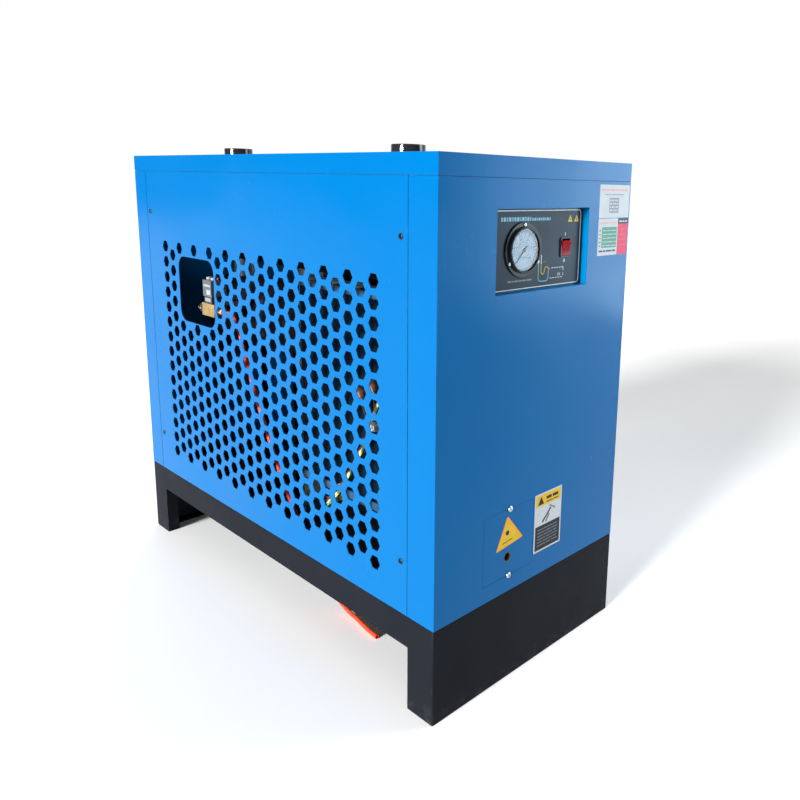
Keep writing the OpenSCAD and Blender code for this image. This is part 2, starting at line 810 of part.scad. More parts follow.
// The throttling tube from the drier to the evaporator, and the gauge's own fine tube
module capillary_tubes() {
    throttle = concat([[150, 20, 336], [150, 20, 352], [126, 6, 362]], coil([90, -6, 366], 30, 3, 8, 12),
        [[112, -14, 396], [60, -16, 430], [-40, -2, 466], [-84, 2, 486], [-84, evaporator_y0, 494]]);
    gauge = smooth([[gauge_x, -409, recess_z], [gauge_x, -392, 710], [-20, -372, 684], [8, -320, 622],
        [20, -200, 608], [10, -100, 604], [-16, -50, 592], [-28, -8, 578], [-30, 8, 556]], 3);
    color([0.72, 0.42, 0.26]) {
        swept(throttle, 1.8, 8);
        swept(gauge, 1.4, 8);
    }
}

module hot_gas_valve() {
    x = 40;
    color([0.75, 0.60, 0.30]) {
        translate([x, -60, 0]) rotate_extrude() polygon([[0, 485.2], [12, 485.2], [14, 492], [14, 516],
            [18, 520], [18, 540], [9, 544], [9, 556], [0, 556]]);
        swept(bent([[x - 13, -60, 504], [x - 90, -60, 504], [x - 90, -10, 504], [x - 90, evaporator_y0, 504]], 12), 4, 10);
    }
}

// ---- Air side ----

// A horizontal insulated shell with rounded ends, along +Y
module insulated_shell(y0, y1, z, r) {
    k = 18;
    translate([air_x, y0, z]) rotate([-90, 0, 0]) rotate_extrude() polygon([
        [0, 0], [r - k, 0], [r - k * 0.4, k * 0.25], [r, k], [r, y1 - y0 - k],
        [r - k * 0.4, y1 - y0 - k * 0.25], [r - k, y1 - y0], [0, y1 - y0]
    ]);
}

module precooler_shell() {
    color([0.08, 0.08, 0.09]) insulated_shell(precooler_y0, precooler_y1, precooler_z, precooler_r);
}

module evaporator_shell() {
    color([0.08, 0.08, 0.09]) insulated_shell(evaporator_y0, evaporator_y1, evaporator_z, evaporator_r);
}

module air_links() {
    z0 = evaporator_z + evaporator_r - 8;
    z1 = precooler_z - precooler_r + 8;
    color([0.30, 0.31, 0.32]) difference() {
        for (y = link_ys) bar_z([air_x, y, z0], 24, z1 - z0);
        bar_y([air_x, precooler_y0, precooler_z], precooler_r, 900);
        bar_y([air_x, evaporator_y0, evaporator_z], evaporator_r, 600);
    }
}

// The two threaded connections on top, each on a short riser from the upper shell
module air_sockets() {
    rise = socket_z1 - precooler_z;
    color([0.06, 0.06, 0.07]) for (y = port_ys) difference() {
        translate([air_x, y, precooler_z]) rotate_extrude() polygon([
            [18, 70], [24, 70], [24, socket_z0 - precooler_z], [socket_d / 2 - 1, socket_z0 - precooler_z],
            [socket_d / 2, socket_z0 - precooler_z + 1], [socket_d / 2, rise - 1.2],
            [socket_d / 2 - 1.2, rise], [socket_bore / 2, rise],
            [socket_bore / 2, rise - socket_depth], [18, rise - socket_depth]
        ]);
        bar_y([air_x, precooler_y0, precooler_z], precooler_r, 900);
    }
}

module exchanger_cradles() {
    color([0.50, 0.52, 0.54]) for (y = [70, 370]) difference() {
        union() {
            block([air_x - 60, y, base_h], [air_x + 60, y + 3, evaporator_z - 30]);
            block([air_x - 60, y, base_h], [air_x + 60, y + 30, base_h + 3]);
        }
        bar_y([air_x, y - 10, evaporator_z], evaporator_r, 60);
        block([air_x - 40, y - 1, base_h + 30], [air_x + 40, y + 4, evaporator_z - evaporator_r - 40]);
    }
}

module separator() {
    r = sep_r;
    color([0.14, 0.15, 0.17]) {
        translate([sep_x, sep_y, 0]) rotate_extrude() polygon([[0, sep_z0], [10, sep_z0],
            [10, sep_z0 + 8], [r * 0.6, sep_z0 + 14], [r * 0.9, sep_z0 + 26], [r, sep_z0 + 46],
            [r, sep_z1 - 46], [r * 0.9, sep_z1 - 26], [r * 0.6, sep_z1 - 14], [0, sep_z1 - 8]]);
        for (a = [30, 150, 270]) rotate_about(a) block([r - 12, -8, base_h], [r - 6, 8, sep_z0 + 46]);
    }
}

// Turns a leg about the separator's own axis
module rotate_about(a) {
    translate([sep_x, sep_y, 0]) rotate(a) children();
}

module drain_pipe() {
    color([0.05, 0.05, 0.06]) swept(bent([[sep_x, sep_y, sep_z0], [sep_x, sep_y, 182], [-150, drain_y, 182],
        [-150, drain_y, drain_z], [ball_x + 13, drain_y, drain_z]], 12), 4, 12);
}

// ---- Condensate drain ----

module ball_valve() {
    color([0.78, 0.62, 0.32]) difference() {
        union() {
            bar_x([ball_x - 12, drain_y, drain_z], 9, 25);
            translate([ball_x - 12, drain_y, drain_z]) rotate([0, 90, 0]) cylinder(r = 11.5, h = 7, $fn = 6);
            translate([ball_x + 5, drain_y, drain_z]) rotate([0, 90, 0]) cylinder(r = 11.5, h = 7, $fn = 6);
            bar_z([ball_x, drain_y, drain_z], 5.5, 14);
        }
        bar_z([ball_x, drain_y, drain_z + 2], 2.56, 14);
    }
}

// The lever lies along the pipe when the valve is open
module valve_lever() {
    z = drain_z + 14.4;
    color([0.80, 0.15, 0.12]) {
        bar_z([ball_x, drain_y, drain_z + 4], 2.5, 14);
        bar_z([ball_x, drain_y, z], 6, 3);
        block([ball_x, drain_y - 4, z], [ball_x + 34, drain_y + 4, z + 2.4]);
        bar_z([ball_x + 34, drain_y, z], 5, 2.4);
    }
}

module drain_valve() {
    lo = [drain_x - 12, fitting_y + 20, drain_z - 12];
    hi = [drain_x + 12, drain_y + 32, drain_z + 14];
    color([0.78, 0.62, 0.32]) {
        block(lo, hi);
        translate([drain_x, hi[1], drain_z]) rotate([-90, 0, 0]) cylinder(r = 11.5, h = 9, $fn = 6);
        bar_y([drain_x, hi[1] + 8, drain_z], 8.5, 14);
        translate([drain_x, hi[1] + 16, drain_z]) rotate([-90, 0, 0]) cylinder(r = 10.5, h = 7, $fn = 6);
    }
}

module drain_coil() {
    color([0.12, 0.12, 0.13]) {
        block([drain_x - 15, drain_y - 15, drain_z + 14], [drain_x + 15, drain_y + 15, timer_z0]);
    }
}

module drain_timer() {
    color([0.24, 0.25, 0.27]) difference() {
        block([drain_x - 16, drain_y - 17, timer_z0], [drain_x + 16, drain_y + 17, timer_z1]);
        for (y = knob_y) bar_z([drain_x - 5, y, timer_z1 - 5], 2.06, 10);
        bar_z([drain_x + 9, drain_y, timer_z1 - 6], 3.3, 10);
    }
}

module timer_knob(y) {
    color([0.90, 0.90, 0.88]) difference() {
        union() {
            bar_z([drain_x - 5, y, timer_z1 - 4], 2, 5);
            bar_z([drain_x - 5, y, timer_z1 + 0.4], 6, 4.6);
        }
        block([drain_x - 5.6, y - 7, timer_z1 + 4], [drain_x - 4.4, y + 7, timer_z1 + 6]);
    }
}

module interval_knob() {
    timer_knob(knob_y[0]);
}

module open_time_knob() {
    timer_knob(knob_y[1]);
}

module test_button() {
    color([0.80, 0.12, 0.10]) bar_z([drain_x + 9, drain_y, timer_z1 - 3.6], 3.2, 6);
}

// The push-in fitting that the hose leaves
module hose_fitting() {
    color([0.75, 0.76, 0.74]) translate([drain_x, fitting_y, drain_z])
        rotate([-90, 0, 0]) rotate_extrude() polygon([[hose_d / 2 + 0.2, 0], [6.6, 0], [7.2, 0.8],
            [7.2, 4], [5.8, 4.4], [5.8, 6], [8, 6.4], [8, 20], [0, 20], [0, 9], [hose_d / 2 + 0.2, 9]]);
}

module drain_hose() {
    color([0.88, 0.16, 0.08]) swept(smooth(hose_route, 2), hose_d / 2, 10);
}

base_front();
base_rear();
base_side_left();
base_side_right();
floor_pan();
corner_posts();
front_panel();
rear_panel();
left_side_panel();
right_side_panel();
top_cover();
panel_screws();
control_recess();
control_plate();
access_plate();
bright_screws();
grommets();
gauge_case();
gauge_dial();
gauge_needle();
gauge_lens();
switch_bezel();
switch_rocker();
electrical_box();
contactor();
run_capacitor();
wiring();
condenser_frame();
condenser_fins();
condenser_tubes();
fan_shroud();
fan_guard();
fan_motor();
fan_shaft();
fan_blades();
compressor_shell();
compressor_mounts();
compressor_bolts();
terminal_cover();
refrigerant_lines();
filter_drier();
capillary_tubes();
hot_gas_valve();
precooler_shell();
evaporator_shell();
air_links();
air_sockets();
exchanger_cradles();
separator();
drain_pipe();
ball_valve();
valve_lever();
drain_valve();
drain_coil();
drain_timer();
interval_knob();
open_time_knob();
test_button();
hose_fitting();
drain_hose();
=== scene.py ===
"""A refrigerated air dryer: its looks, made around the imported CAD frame.

Metres, +Z up, the control panel faces -Y. Places come from the frame's own boxes.
"""

import json
import math

import bmesh
import bpy
from mathutils import Matrix, Vector

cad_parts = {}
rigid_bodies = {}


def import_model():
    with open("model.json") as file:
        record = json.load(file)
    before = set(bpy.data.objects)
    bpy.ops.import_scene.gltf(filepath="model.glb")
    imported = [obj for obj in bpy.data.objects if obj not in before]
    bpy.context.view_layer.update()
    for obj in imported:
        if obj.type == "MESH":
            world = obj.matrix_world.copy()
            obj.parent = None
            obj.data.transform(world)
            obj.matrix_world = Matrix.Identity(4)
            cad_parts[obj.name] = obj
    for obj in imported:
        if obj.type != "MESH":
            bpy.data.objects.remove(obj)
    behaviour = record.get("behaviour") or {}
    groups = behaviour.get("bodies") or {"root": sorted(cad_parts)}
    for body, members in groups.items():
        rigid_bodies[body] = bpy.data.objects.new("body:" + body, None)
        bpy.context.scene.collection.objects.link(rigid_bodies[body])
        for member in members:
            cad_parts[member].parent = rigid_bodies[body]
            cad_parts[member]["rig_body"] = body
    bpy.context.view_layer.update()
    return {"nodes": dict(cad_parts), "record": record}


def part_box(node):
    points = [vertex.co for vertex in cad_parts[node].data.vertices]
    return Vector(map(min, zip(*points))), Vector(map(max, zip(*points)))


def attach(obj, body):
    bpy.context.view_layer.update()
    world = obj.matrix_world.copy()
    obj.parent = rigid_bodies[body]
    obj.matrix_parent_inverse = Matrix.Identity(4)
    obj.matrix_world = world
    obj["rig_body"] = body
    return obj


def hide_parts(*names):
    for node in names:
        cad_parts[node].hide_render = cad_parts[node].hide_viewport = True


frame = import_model()

MM = 0.001
scene = bpy.context.scene
scene.view_settings.view_transform = "Standard"
OUT = Vector((0, -1, 0))
RIGHT = Vector((1, 0, 0))
UP = Vector((0, 0, 1))

# The camera at the photograph's angle: its place, its axes, and the shift that the framing needs
CAMERA_PLACE = (-0.9097, -1.2068, 0.8105)
CAMERA_RIGHT = (0.68262, -0.73037, 0.02418)
CAMERA_FORWARD = (0.72005, 0.66659, -0.19283)
CAMERA_LENS = 33.59
CAMERA_SHIFT = (-0.1125, -0.0875)

# The light: a low sun on the perforated side, and a surround that is bright behind the dryer and dim in front of it
SUN_HEADING = (0.92, 0.06, -0.225)
SUN_STRENGTH, SUN_SOFTNESS = 9.9, 18
LAMP_SPREAD = 100
BRIGHT_SIDE = (0.93, 0.37, 0)
# How far towards the bright side, and towards the top, the surround grows brighter: from, to, and the two strengths
SIDE_LEVELS, TOP_LEVELS = (0.18, 0.56, 0.05, 1.02), (0.35, 1.0, 0.0, 0.62)
FLOOR_RADIUS = 14


# ---- Camera, light and floor ----

def add_camera():
    data = bpy.data.cameras.new("camera")
    data.sensor_width = 36
    data.lens = CAMERA_LENS
    data.shift_x, data.shift_y = CAMERA_SHIFT
    camera = bpy.data.objects.new("camera", data)
    right, forward = Vector(CAMERA_RIGHT).normalized(), Vector(CAMERA_FORWARD).normalized()
    turn = Matrix((right, right.cross(forward), -forward)).transposed()
    camera.matrix_world = Matrix.Translation(CAMERA_PLACE) @ turn.to_4x4()
    scene.collection.objects.link(camera)
    scene.camera = camera


def add_lamp(data, power, heading, place=(0, 0, 0)):
    data.energy = power
    lamp = bpy.data.objects.new(data.name, data)
    lamp.location = place
    lamp.rotation_euler = Vector(heading).to_track_quat("-Z", "Y").to_euler()
    scene.collection.objects.link(lamp)


def add_area(name, place, target, size, power, tint):
    data = bpy.data.lights.new(name, "AREA")
    data.shape = "RECTANGLE"
    data.size, data.size_y = size
    data.color = tint
    data.spread = math.radians(LAMP_SPREAD)
    add_lamp(data, power, Vector(target) - Vector(place), place)


def map_range(nodes, low, high, to_low, to_high):
    node = nodes.new("ShaderNodeMapRange")
    for key, number in zip(("From Min", "From Max", "To Min", "To Max"), (low, high, to_low, to_high)):
        node.inputs[key].default_value = number
    return node


def add_world():
    world = bpy.data.worlds.new("studio")
    world.use_nodes = True
    nodes, links = world.node_tree.nodes, world.node_tree.links
    place = nodes.new("ShaderNodeTexCoord")
    along = nodes.new("ShaderNodeVectorMath")
    along.operation = "DOT_PRODUCT"
    along.inputs[1].default_value = BRIGHT_SIDE
    split = nodes.new("ShaderNodeSeparateXYZ")
    level = map_range(nodes, *SIDE_LEVELS)
    overhead = map_range(nodes, *TOP_LEVELS)
    level.interpolation_type = overhead.interpolation_type = "SMOOTHSTEP"
    both = nodes.new("ShaderNodeMath")
    links.new(place.outputs["Generated"], along.inputs[0])
    links.new(place.outputs["Generated"], split.inputs[0])
    links.new(along.outputs["Value"], level.inputs["Value"])
    links.new(split.outputs["Z"], overhead.inputs["Value"])
    links.new(level.outputs["Result"], both.inputs[0])
    links.new(overhead.outputs["Result"], both.inputs[1])
    links.new(both.outputs[0], nodes["Background"].inputs["Strength"])
    nodes["Background"].inputs["Color"].default_value = (1, 1, 1, 1)
    scene.world = world


def add_floor():
    def disc(bm):
        bmesh.ops.create_circle(bm, cap_ends=True, radius=FLOOR_RADIUS, segments=96)
    bm_object("floor", link_mesh("disc", disc), plain_paper("floor_paper", (0.93, 0.93, 0.93)), None)


def add_lights():
    sun = bpy.data.lights.new("key", "SUN")
    sun.angle = math.radians(SUN_SOFTNESS)
    add_lamp(sun, SUN_STRENGTH, SUN_HEADING)
    add_area("front_right", (3.05, -2.55, 0.62), (0.1, -0.48, 0.60), (1.6, 1.15), 19, (0.74, 0.92, 1))
    add_area("upper_right", (1.25, -1.25, 1.45), (0.2, -0.48, 0.80), (0.7, 0.7), 4, (0.85, 0.93, 1))


# ---- Mesh helpers ----

# Points nearer than MERGE become one point, and faces that turn less than FLAT become one face.
# Edges that turn less than FOLD aren't rounded.
MERGE, FLAT, FOLD = 1e-6, math.radians(0.5), math.radians(33)


def into_mesh(name, bm):
    """Turns a bmesh into a mesh whose faces look outward."""
    bmesh.ops.recalc_face_normals(bm, faces=bm.faces)
    mesh = bpy.data.meshes.new(name)
    bm.to_mesh(mesh)
    bm.free()
    return mesh


def link_mesh(name, build):
    """Fills a mesh by a function that is given an empty bmesh."""
    bm = bmesh.new()
    build(bm)
    return into_mesh(name, bm)


def shade(mesh, angle=32):
    """Smooth shading that keeps every edge sharper than the angle."""
    mesh.polygons.foreach_set("use_smooth", [True] * len(mesh.polygons))
    mesh.set_sharp_from_angle(angle=math.radians(angle))


def bm_object(name, mesh, materials, body, slot=None, replaces=()):
    piece = bpy.data.objects.new(name, mesh)
    scene.collection.objects.link(piece)
    for material in materials if isinstance(materials, (list, tuple)) else [materials]:
        mesh.materials.append(material)
    if body:
        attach(piece, body)
    if replaces:
        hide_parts(*replaces)
    return piece


def add_piece(name, build, materials, slot, replaces=(), smooth=True):
    """A piece of the cabinet, from a function that fills a bmesh."""
    mesh = link_mesh(name, build)
    if smooth:
        shade(mesh)
    return bm_object(name, mesh, materials, "cabinet", slot, replaces)


def add_box(bm, low, high, material=0):
    """A closed box between two corners."""
    corners = [Vector((x, y, z)) for x in (low[0], high[0]) for y in (low[1], high[1]) for z in (low[2], high[2])]
    verts = [bm.verts.new(c) for c in corners]
    for ring in ((0, 1, 3, 2), (4, 6, 7, 5), (0, 4, 5, 1), (2, 3, 7, 6), (0, 2, 6, 4), (1, 5, 7, 3)):
        bm.faces.new([verts[i] for i in ring]).material_index = material


def bridge(bm, low, high, material=0):
    """Quads between two rings of the same length."""
    count = len(low)
    for k in range(count):
        bm.faces.new([low[k], low[(k + 1) % count], high[(k + 1) % count], high[k]]).material_index = material


def turned(place, degrees):
    """A place, with its own Z turned about X."""
    return Matrix.Translation(place) @ Matrix.Rotation(math.radians(degrees), 4, "X")


def add_lathe(bm, profile, matrix, sides=48, material=0):
    """Turns a profile of (radius, height) points about the matrix's own Z."""
    rings = []
    for radius, height in profile:
        if radius < 1e-7:
            rings.append([bm.verts.new(matrix @ Vector((0, 0, height)))])
            continue
        rings.append([
            bm.verts.new(matrix @ Vector((radius * math.cos(a), radius * math.sin(a), height)))
            for a in (math.tau * k / sides for k in range(sides))
        ])
    for low, high in zip(rings, rings[1:]):
        for k in range(sides):
            ring = [low[k % len(low)], low[(k + 1) % len(low)], high[(k + 1) % len(high)], high[k % len(high)]]
            corners = list(dict.fromkeys(ring))
            if len(corners) > 2:
                bm.faces.new(corners).material_index = material


def catmull(points, steps):
    """A smooth curve through every point, with the same rule as the CAD route."""
    points = [Vector(p) for p in points]
    line = []
    last = len(points) - 1
    for i in range(last):
        a, b, c, d = points[max(i - 1, 0)], points[i], points[i + 1], points[min(i + 2, last)]
        for j in range(steps):
            t = j / steps
            line.append(0.5 * (2 * b + (c - a) * t + (2 * a - 5 * b + 4 * c - d) * t ** 2
                               + (3 * b - a - 3 * c + d) * t ** 3))
    return line + [points[last]]


def headings(points):
    last = len(points) - 1
    return [(points[min(i + 1, last)] - points[max(i - 1, 0)]).normalized() for i in range(last + 1)]


def add_tube(bm, points, radius, sides, bore=0, depth=0, stripe=None):
    """A round tube along a line, with a blind bore in its far end where one is asked for."""
    ways = headings(points)
    side = (UP if abs(ways[0].z) < 0.9 else RIGHT)
    side = (side - side.dot(ways[0]) * ways[0]).normalized()
    rings = []

    def add_ring(point, size):
        rings.append([
            bm.verts.new(point + size * (math.cos(a) * side + math.sin(a) * other))
            for a in (math.tau * k / sides for k in range(sides))
        ])
    for point, way in zip(points, ways):
        side = (side - side.dot(way) * way).normalized()
        other = way.cross(side)
        add_ring(point, radius)
    if bore:
        add_ring(points[-1], bore)
        add_ring(points[-1] - depth * ways[-1], bore)
    for row, (low, high) in enumerate(zip(rings, rings[1:])):
        for k in range(sides):
            face = bm.faces.new([low[k], low[(k + 1) % sides], high[(k + 1) % sides], high[k]])
            face.material_index = stripe(row, k) if stripe else 0
    bm.faces.new(rings[0])
    bm.faces.new(rings[-1])


def islands(node):
    """The low and high corners of each separate solid of a CAD node."""
    bm = bmesh.new()
    bm.from_mesh(frame["nodes"][node].data)
    bmesh.ops.remove_doubles(bm, verts=bm.verts, dist=MERGE)
    left, found = set(bm.verts), []
    while left:
        stack = [left.pop()]
        group = list(stack)
        while stack:
            for edge in stack.pop().link_edges:
                for vert in edge.verts:
                    if vert in left:
                        left.discard(vert)
                        stack.append(vert)
                        group.append(vert)
        low = Vector(min(v.co[i] for v in group) for i in range(3))
        high = Vector(max(v.co[i] for v in group) for i in range(3))
        found.append((low, high))
    bm.free()
    return sorted(found, key=lambda b: tuple(round(c, 5) for c in b[0]))


# ---- Materials ----

class Tree:
    """A material's nodes, with short calls for what the finishes share."""

    def __init__(self, name, color, rough=0.5, metal=0.0):
        self.material = bpy.data.materials.new(name)
        self.material.use_nodes = True
        self.nodes = self.material.node_tree.nodes
        self.links = self.material.node_tree.links
        self.shader = self.nodes["Principled BSDF"]
        self.place = self.nodes.new("ShaderNodeTexCoord").outputs["Object"]
        self.set("Base Color", (*color, 1))
        self.set("Roughness", rough)
        self.set("Metallic", metal)
        self.material.diffuse_color = (*color, 1)
        self.color = color

    def feed(self, socket, value):
        """Links the socket to another one, or sets it to a number, a vector or a colour."""
        if isinstance(value, bpy.types.NodeSocket):
            self.links.new(value, socket)
        else:
            socket.default_value = value

    def set(self, socket, value):
        self.feed(self.shader.inputs[socket], value)

    def node(self, kind, **inputs):
        """A new node, with what feeds its inputs."""
        node = self.nodes.new("ShaderNode" + kind)
        for key, value in inputs.items():
            self.feed(node.inputs[key], value)
        return node

    def stretched(self, scale):
        return self.node("Mapping", Scale=scale, Vector=self.place).outputs["Vector"]

    def noise(self, scale, detail=3, rough=0.55, along=None):
        node = self.node("TexNoise", Scale=scale, Detail=detail, Roughness=rough, Vector=along or self.place)
        return node.outputs["Fac"]

    def cells(self, scale, output="Distance"):
        return self.node("TexVoronoi", Scale=scale, Vector=self.place).outputs[output]

    def height(self, axis):
        return self.node("SeparateXYZ", Vector=self.place).outputs[axis]

    def worn_edges(self, radius):
        """How far the surface turns within the radius: 0 on a flat face, 1 on an edge."""
        bevel = self.node("Bevel", Radius=radius)
        bevel.samples = 4
        turn = self.node("VectorMath")
        turn.operation = "DOT_PRODUCT"
        self.links.new(bevel.outputs["Normal"], turn.inputs[0])
        self.links.new(self.node("NewGeometry").outputs["Normal"], turn.inputs[1])
        return self.remap(turn.outputs["Value"], 0.985, 0.86, 0, 1)

    def remap(self, value, low, high, to_low, to_high):
        node = map_range(self.nodes, low, high, to_low, to_high)
        self.links.new(value, node.inputs["Value"])
        return node.outputs["Result"]

    def times(self, a, b):
        node = self.node("Math")
        node.operation = "MULTIPLY"
        self.links.new(a, node.inputs[0])
        self.links.new(b, node.inputs[1])
        return node.outputs[0]

    def mix(self, factor, a, b):
        node = self.node("Mix")
        node.data_type = "RGBA"
        self.links.new(factor, node.inputs["Factor"])
        for value, key in ((a, "A"), (b, "B")):
            self.feed(node.inputs[key], (*value, 1) if isinstance(value, tuple) else value)
        return node.outputs["Result"]

    def bump(self, *layers):
        """Each layer is a height and its depth in metres."""
        below = {}
        for height, depth in layers:
            below = {"Normal": self.node("Bump", Strength=1, Distance=depth, Height=height, **below).outputs["Normal"]}
        self.set("Normal", below["Normal"])

    def gloss_patches(self, low, high, scale, detail, rough=0.55):
        """Roughness that drifts between two values from place to place."""
        self.set("Roughness", self.remap(self.noise(scale, detail, rough), 0.3, 0.7, low, high))

    def vary(self, amount, scale):
        """The base colour, a little darker and lighter from place to place."""
        dark = tuple(c * (1 - amount) for c in self.color)
        light = tuple(min(1, c * (1 + amount)) for c in self.color)
        return self.mix(self.remap(self.noise(scale), 0.3, 0.7, 0, 1), dark, light)


def powder_coat(name, color, rough=(0.16, 0.28), sheet_wave=0.006, tint=(1, 1, 1), gloss=1.45):
    """Gloss powder coat on folded sheet: orange peel, slow waves of the sheet, dust and small chips."""
    t = Tree(name, color)
    dust = t.remap(t.noise(130, 6, 0.7), 0.62, 0.80, 0, 0.006)
    base = t.mix(dust, t.vary(0.035, 2.2), (0.40, 0.46, 0.52))
    edge = t.times(t.worn_edges(0.0006), t.remap(t.noise(150, 5), 0.56, 0.66, 0, 0.28))
    t.set("Base Color", t.mix(edge, base, (0.30, 0.36, 0.42)))
    t.set("Roughness", t.remap(t.noise(5.5, 5, 0.6), 0.32, 0.68, *rough))
    t.set("IOR", gloss)
    t.set("Specular Tint", (*tint, 1))
    sheet = t.noise(3.1, 1, 0.4, t.stretched((1, 1, 1.8)))
    t.bump((sheet, sheet_wave), (t.noise(520, 2, 0.5), 0.00003))
    return t.material


def base_coat(name, color):
    """Satin charcoal powder coat with scuffs, floor dust and rubbed corners."""
    t = Tree(name, color)
    scuffs = t.times(
        t.remap(t.noise(26, 8, 0.75, t.stretched((1, 1, 3))), 0.62, 0.70, 0, 0.5),
        t.remap(t.noise(4.6, 2), 0.56, 0.64, 0, 1))
    base = t.mix(scuffs, t.vary(0.10, 5), (0.085, 0.09, 0.095))
    floor_dust = t.times(t.remap(t.height("Z"), 0.0, 0.035, 0.20, 0), t.remap(t.noise(44, 6, 0.7), 0.50, 0.70, 0, 1))
    base = t.mix(floor_dust, base, (0.11, 0.11, 0.105))
    edge = t.times(t.worn_edges(0.0008), t.remap(t.noise(90, 5), 0.50, 0.62, 0, 0.6))
    t.set("Base Color", t.mix(edge, base, (0.15, 0.155, 0.16)))
    t.gloss_patches(0.34, 0.50, 12, 6, 0.7)
    t.set("IOR", 1.1)
    t.bump((t.noise(430, 3, 0.6), 0.00006), (t.noise(2.6, 1), 0.003))
    return t.material


def galvanised(name, color=(0.50, 0.52, 0.53)):
    """Zinc spangle: cells of slightly different grey and gloss."""
    t = Tree(name, color, metal=1)
    cell = t.cells(95, output="Color")
    split = t.node("SeparateColor", Color=cell)
    dark = tuple(c * 0.72 for c in color)
    light = tuple(c * 1.18 for c in color)
    t.set("Base Color", t.mix(split.outputs[0], dark, light))
    t.set("Roughness", t.remap(split.outputs[1], 0, 1, 0.34, 0.52))
    t.bump((t.noise(160, 3), 0.00006))
    return t.material


def worn_metal(name, color, rough=(0.2, 0.42), tarnish=None, grain=420, scale=24):
    """Bare metal with a tarnish that gathers in patches and a fine drawn grain."""
    t = Tree(name, color, metal=1)
    base = t.vary(0.10, scale)
    if tarnish:
        base = t.mix(t.remap(t.noise(scale * 1.7, 6, 0.65), 0.48, 0.70, 0, 0.8), base, tarnish)
    t.set("Base Color", base)
    t.gloss_patches(*rough, scale * 2, 5, 0.6)
    t.bump((t.noise(grain, 3), 0.00004))
    return t.material


def moulded(name, color, rough=(0.34, 0.5), grain=700, depth=0.00004, coat=0.0, vary=0.06, gloss=0.5):
    """Moulded plastic: fine grain, faint flow marks and a little dust."""
    t = Tree(name, color)
    dust = t.remap(t.noise(60, 6, 0.7), 0.60, 0.76, 0, 0.10)
    t.set("Base Color", t.mix(dust, t.vary(vary, 12), (0.5, 0.5, 0.48)))
    t.gloss_patches(*rough, 20, 4)
    t.set("Specular IOR Level", gloss)
    t.set("Coat Weight", coat)
    t.set("Coat Roughness", 0.08)
    t.bump((t.noise(grain, 2), depth))
    return t.material


def rubbery(name, color=(0.022, 0.022, 0.024)):
    t = Tree(name, color)
    t.set("Base Color", t.mix(t.remap(t.noise(40, 6, 0.7), 0.55, 0.75, 0, 0.25), t.vary(0.2, 18), (0.16, 0.155, 0.15)))
    t.gloss_patches(0.55, 0.78, 25, 4)
    t.set("Sheen Weight", 0.15)
    t.bump((t.noise(300, 4, 0.7), 0.00012))
    return t.material


def foam(name):
    """Closed-cell foam insulation: pores and soft dents."""
    t = Tree(name, (0.0025, 0.003, 0.0045))
    t.set("Base Color", t.vary(0.3, 26))
    t.set("Specular IOR Level", 0.06)
    t.gloss_patches(0.7, 0.9, 30, 4)
    t.bump((t.noise(9, 3), 0.006), (t.cells(260), 0.0006))
    return t.material


def plain_paper(name, color, rough=0.55):
    t = Tree(name, color)
    t.set("Base Color", t.vary(0.012, 1.3))
    t.gloss_patches(rough - 0.05, rough + 0.05, 8, 3)
    return t.material


def print_ink(name, color, rough=0.34, gloss=0.10):
    """Printed film: even colour with a faint mottle and a slight orange peel."""
    t = Tree(name, color)
    t.set("Base Color", t.vary(0.05, 60))
    t.gloss_patches(rough - 0.03, rough + 0.05, 18, 4)
    t.set("Specular IOR Level", gloss)
    t.set("Specular Tint", (0.6, 0.8, 1, 1))
    t.bump((t.noise(900, 2), 0.000012))
    return t.material


def clear_lens(name):
    """A clear window: see-through, with a mirror gloss that grows towards grazing angles."""
    t = Tree(name, (0.01, 0.012, 0.014), rough=0.05)
    t.set("Roughness", t.remap(t.noise(45, 4), 0.4, 0.75, 0.03, 0.08))
    t.set("Specular IOR Level", 1.0)
    clear = t.node("BsdfTransparent", Color=(0.96, 0.98, 1, 1))
    rim = t.node("LayerWeight", Blend=0.5)
    both = t.node("MixShader", Fac=t.remap(rim.outputs["Facing"], 0.30, 1.0, 0.05, 0.9))
    t.links.new(clear.outputs[0], both.inputs[1])
    t.links.new(t.shader.outputs[0], both.inputs[2])
    t.links.new(both.outputs[0], t.nodes["Material Output"].inputs["Surface"])
    return t.material


def glow_plastic(name, color, depth):
    """Clear-dyed plastic, lit from within by light that enters it."""
    t = Tree(name, color)
    t.set("Base Color", t.vary(0.10, 90))
    t.gloss_patches(0.12, 0.24, 50, 3)
    t.set("Subsurface Weight", 0.35)
    t.set("Subsurface Radius", (depth, depth * 0.25, depth * 0.15))
    t.set("Subsurface Scale", 1)
    t.set("Specular IOR Level", 0.05)
    t.bump((t.noise(240, 2), 0.00003))
    return t.material


blue = powder_coat("azure_powder_coat", (0.0, 0.083, 0.240), tint=(0.22, 0.55, 1.0), gloss=1.22)
# The control recess takes a lighter copy of the same azure paint: painted sunlight, so that its right wall reads as
# brightly lit as the side panel.
sunlit_recess_blue = powder_coat("recess_coat_painted_sunlight", (0.0, 0.145, 0.345), tint=(0.22, 0.55, 1.0), gloss=1.22)
charcoal = base_coat("charcoal_powder_coat", (0.007, 0.008, 0.011))
zinc_sheet = galvanised("galvanised_sheet")
bright_zinc = worn_metal("bright_zinc", (0.46, 0.50, 0.51), (0.22, 0.40), (0.42, 0.43, 0.42))
black_oxide = worn_metal("black_screws", (0.035, 0.036, 0.040), (0.3, 0.5), (0.10, 0.10, 0.10))
copper = worn_metal("copper_tube", (0.74, 0.37, 0.22), (0.22, 0.42), (0.30, 0.13, 0.07))
brass = worn_metal("machined_brass", (0.66, 0.46, 0.19), (0.2, 0.4), (0.30, 0.19, 0.08))
nickel = worn_metal("nickel_plate", (0.66, 0.66, 0.63), (0.12, 0.28), (0.45, 0.42, 0.36))
ground_steel = worn_metal("ground_steel", (0.55, 0.56, 0.58), (0.18, 0.32), (0.30, 0.28, 0.26))
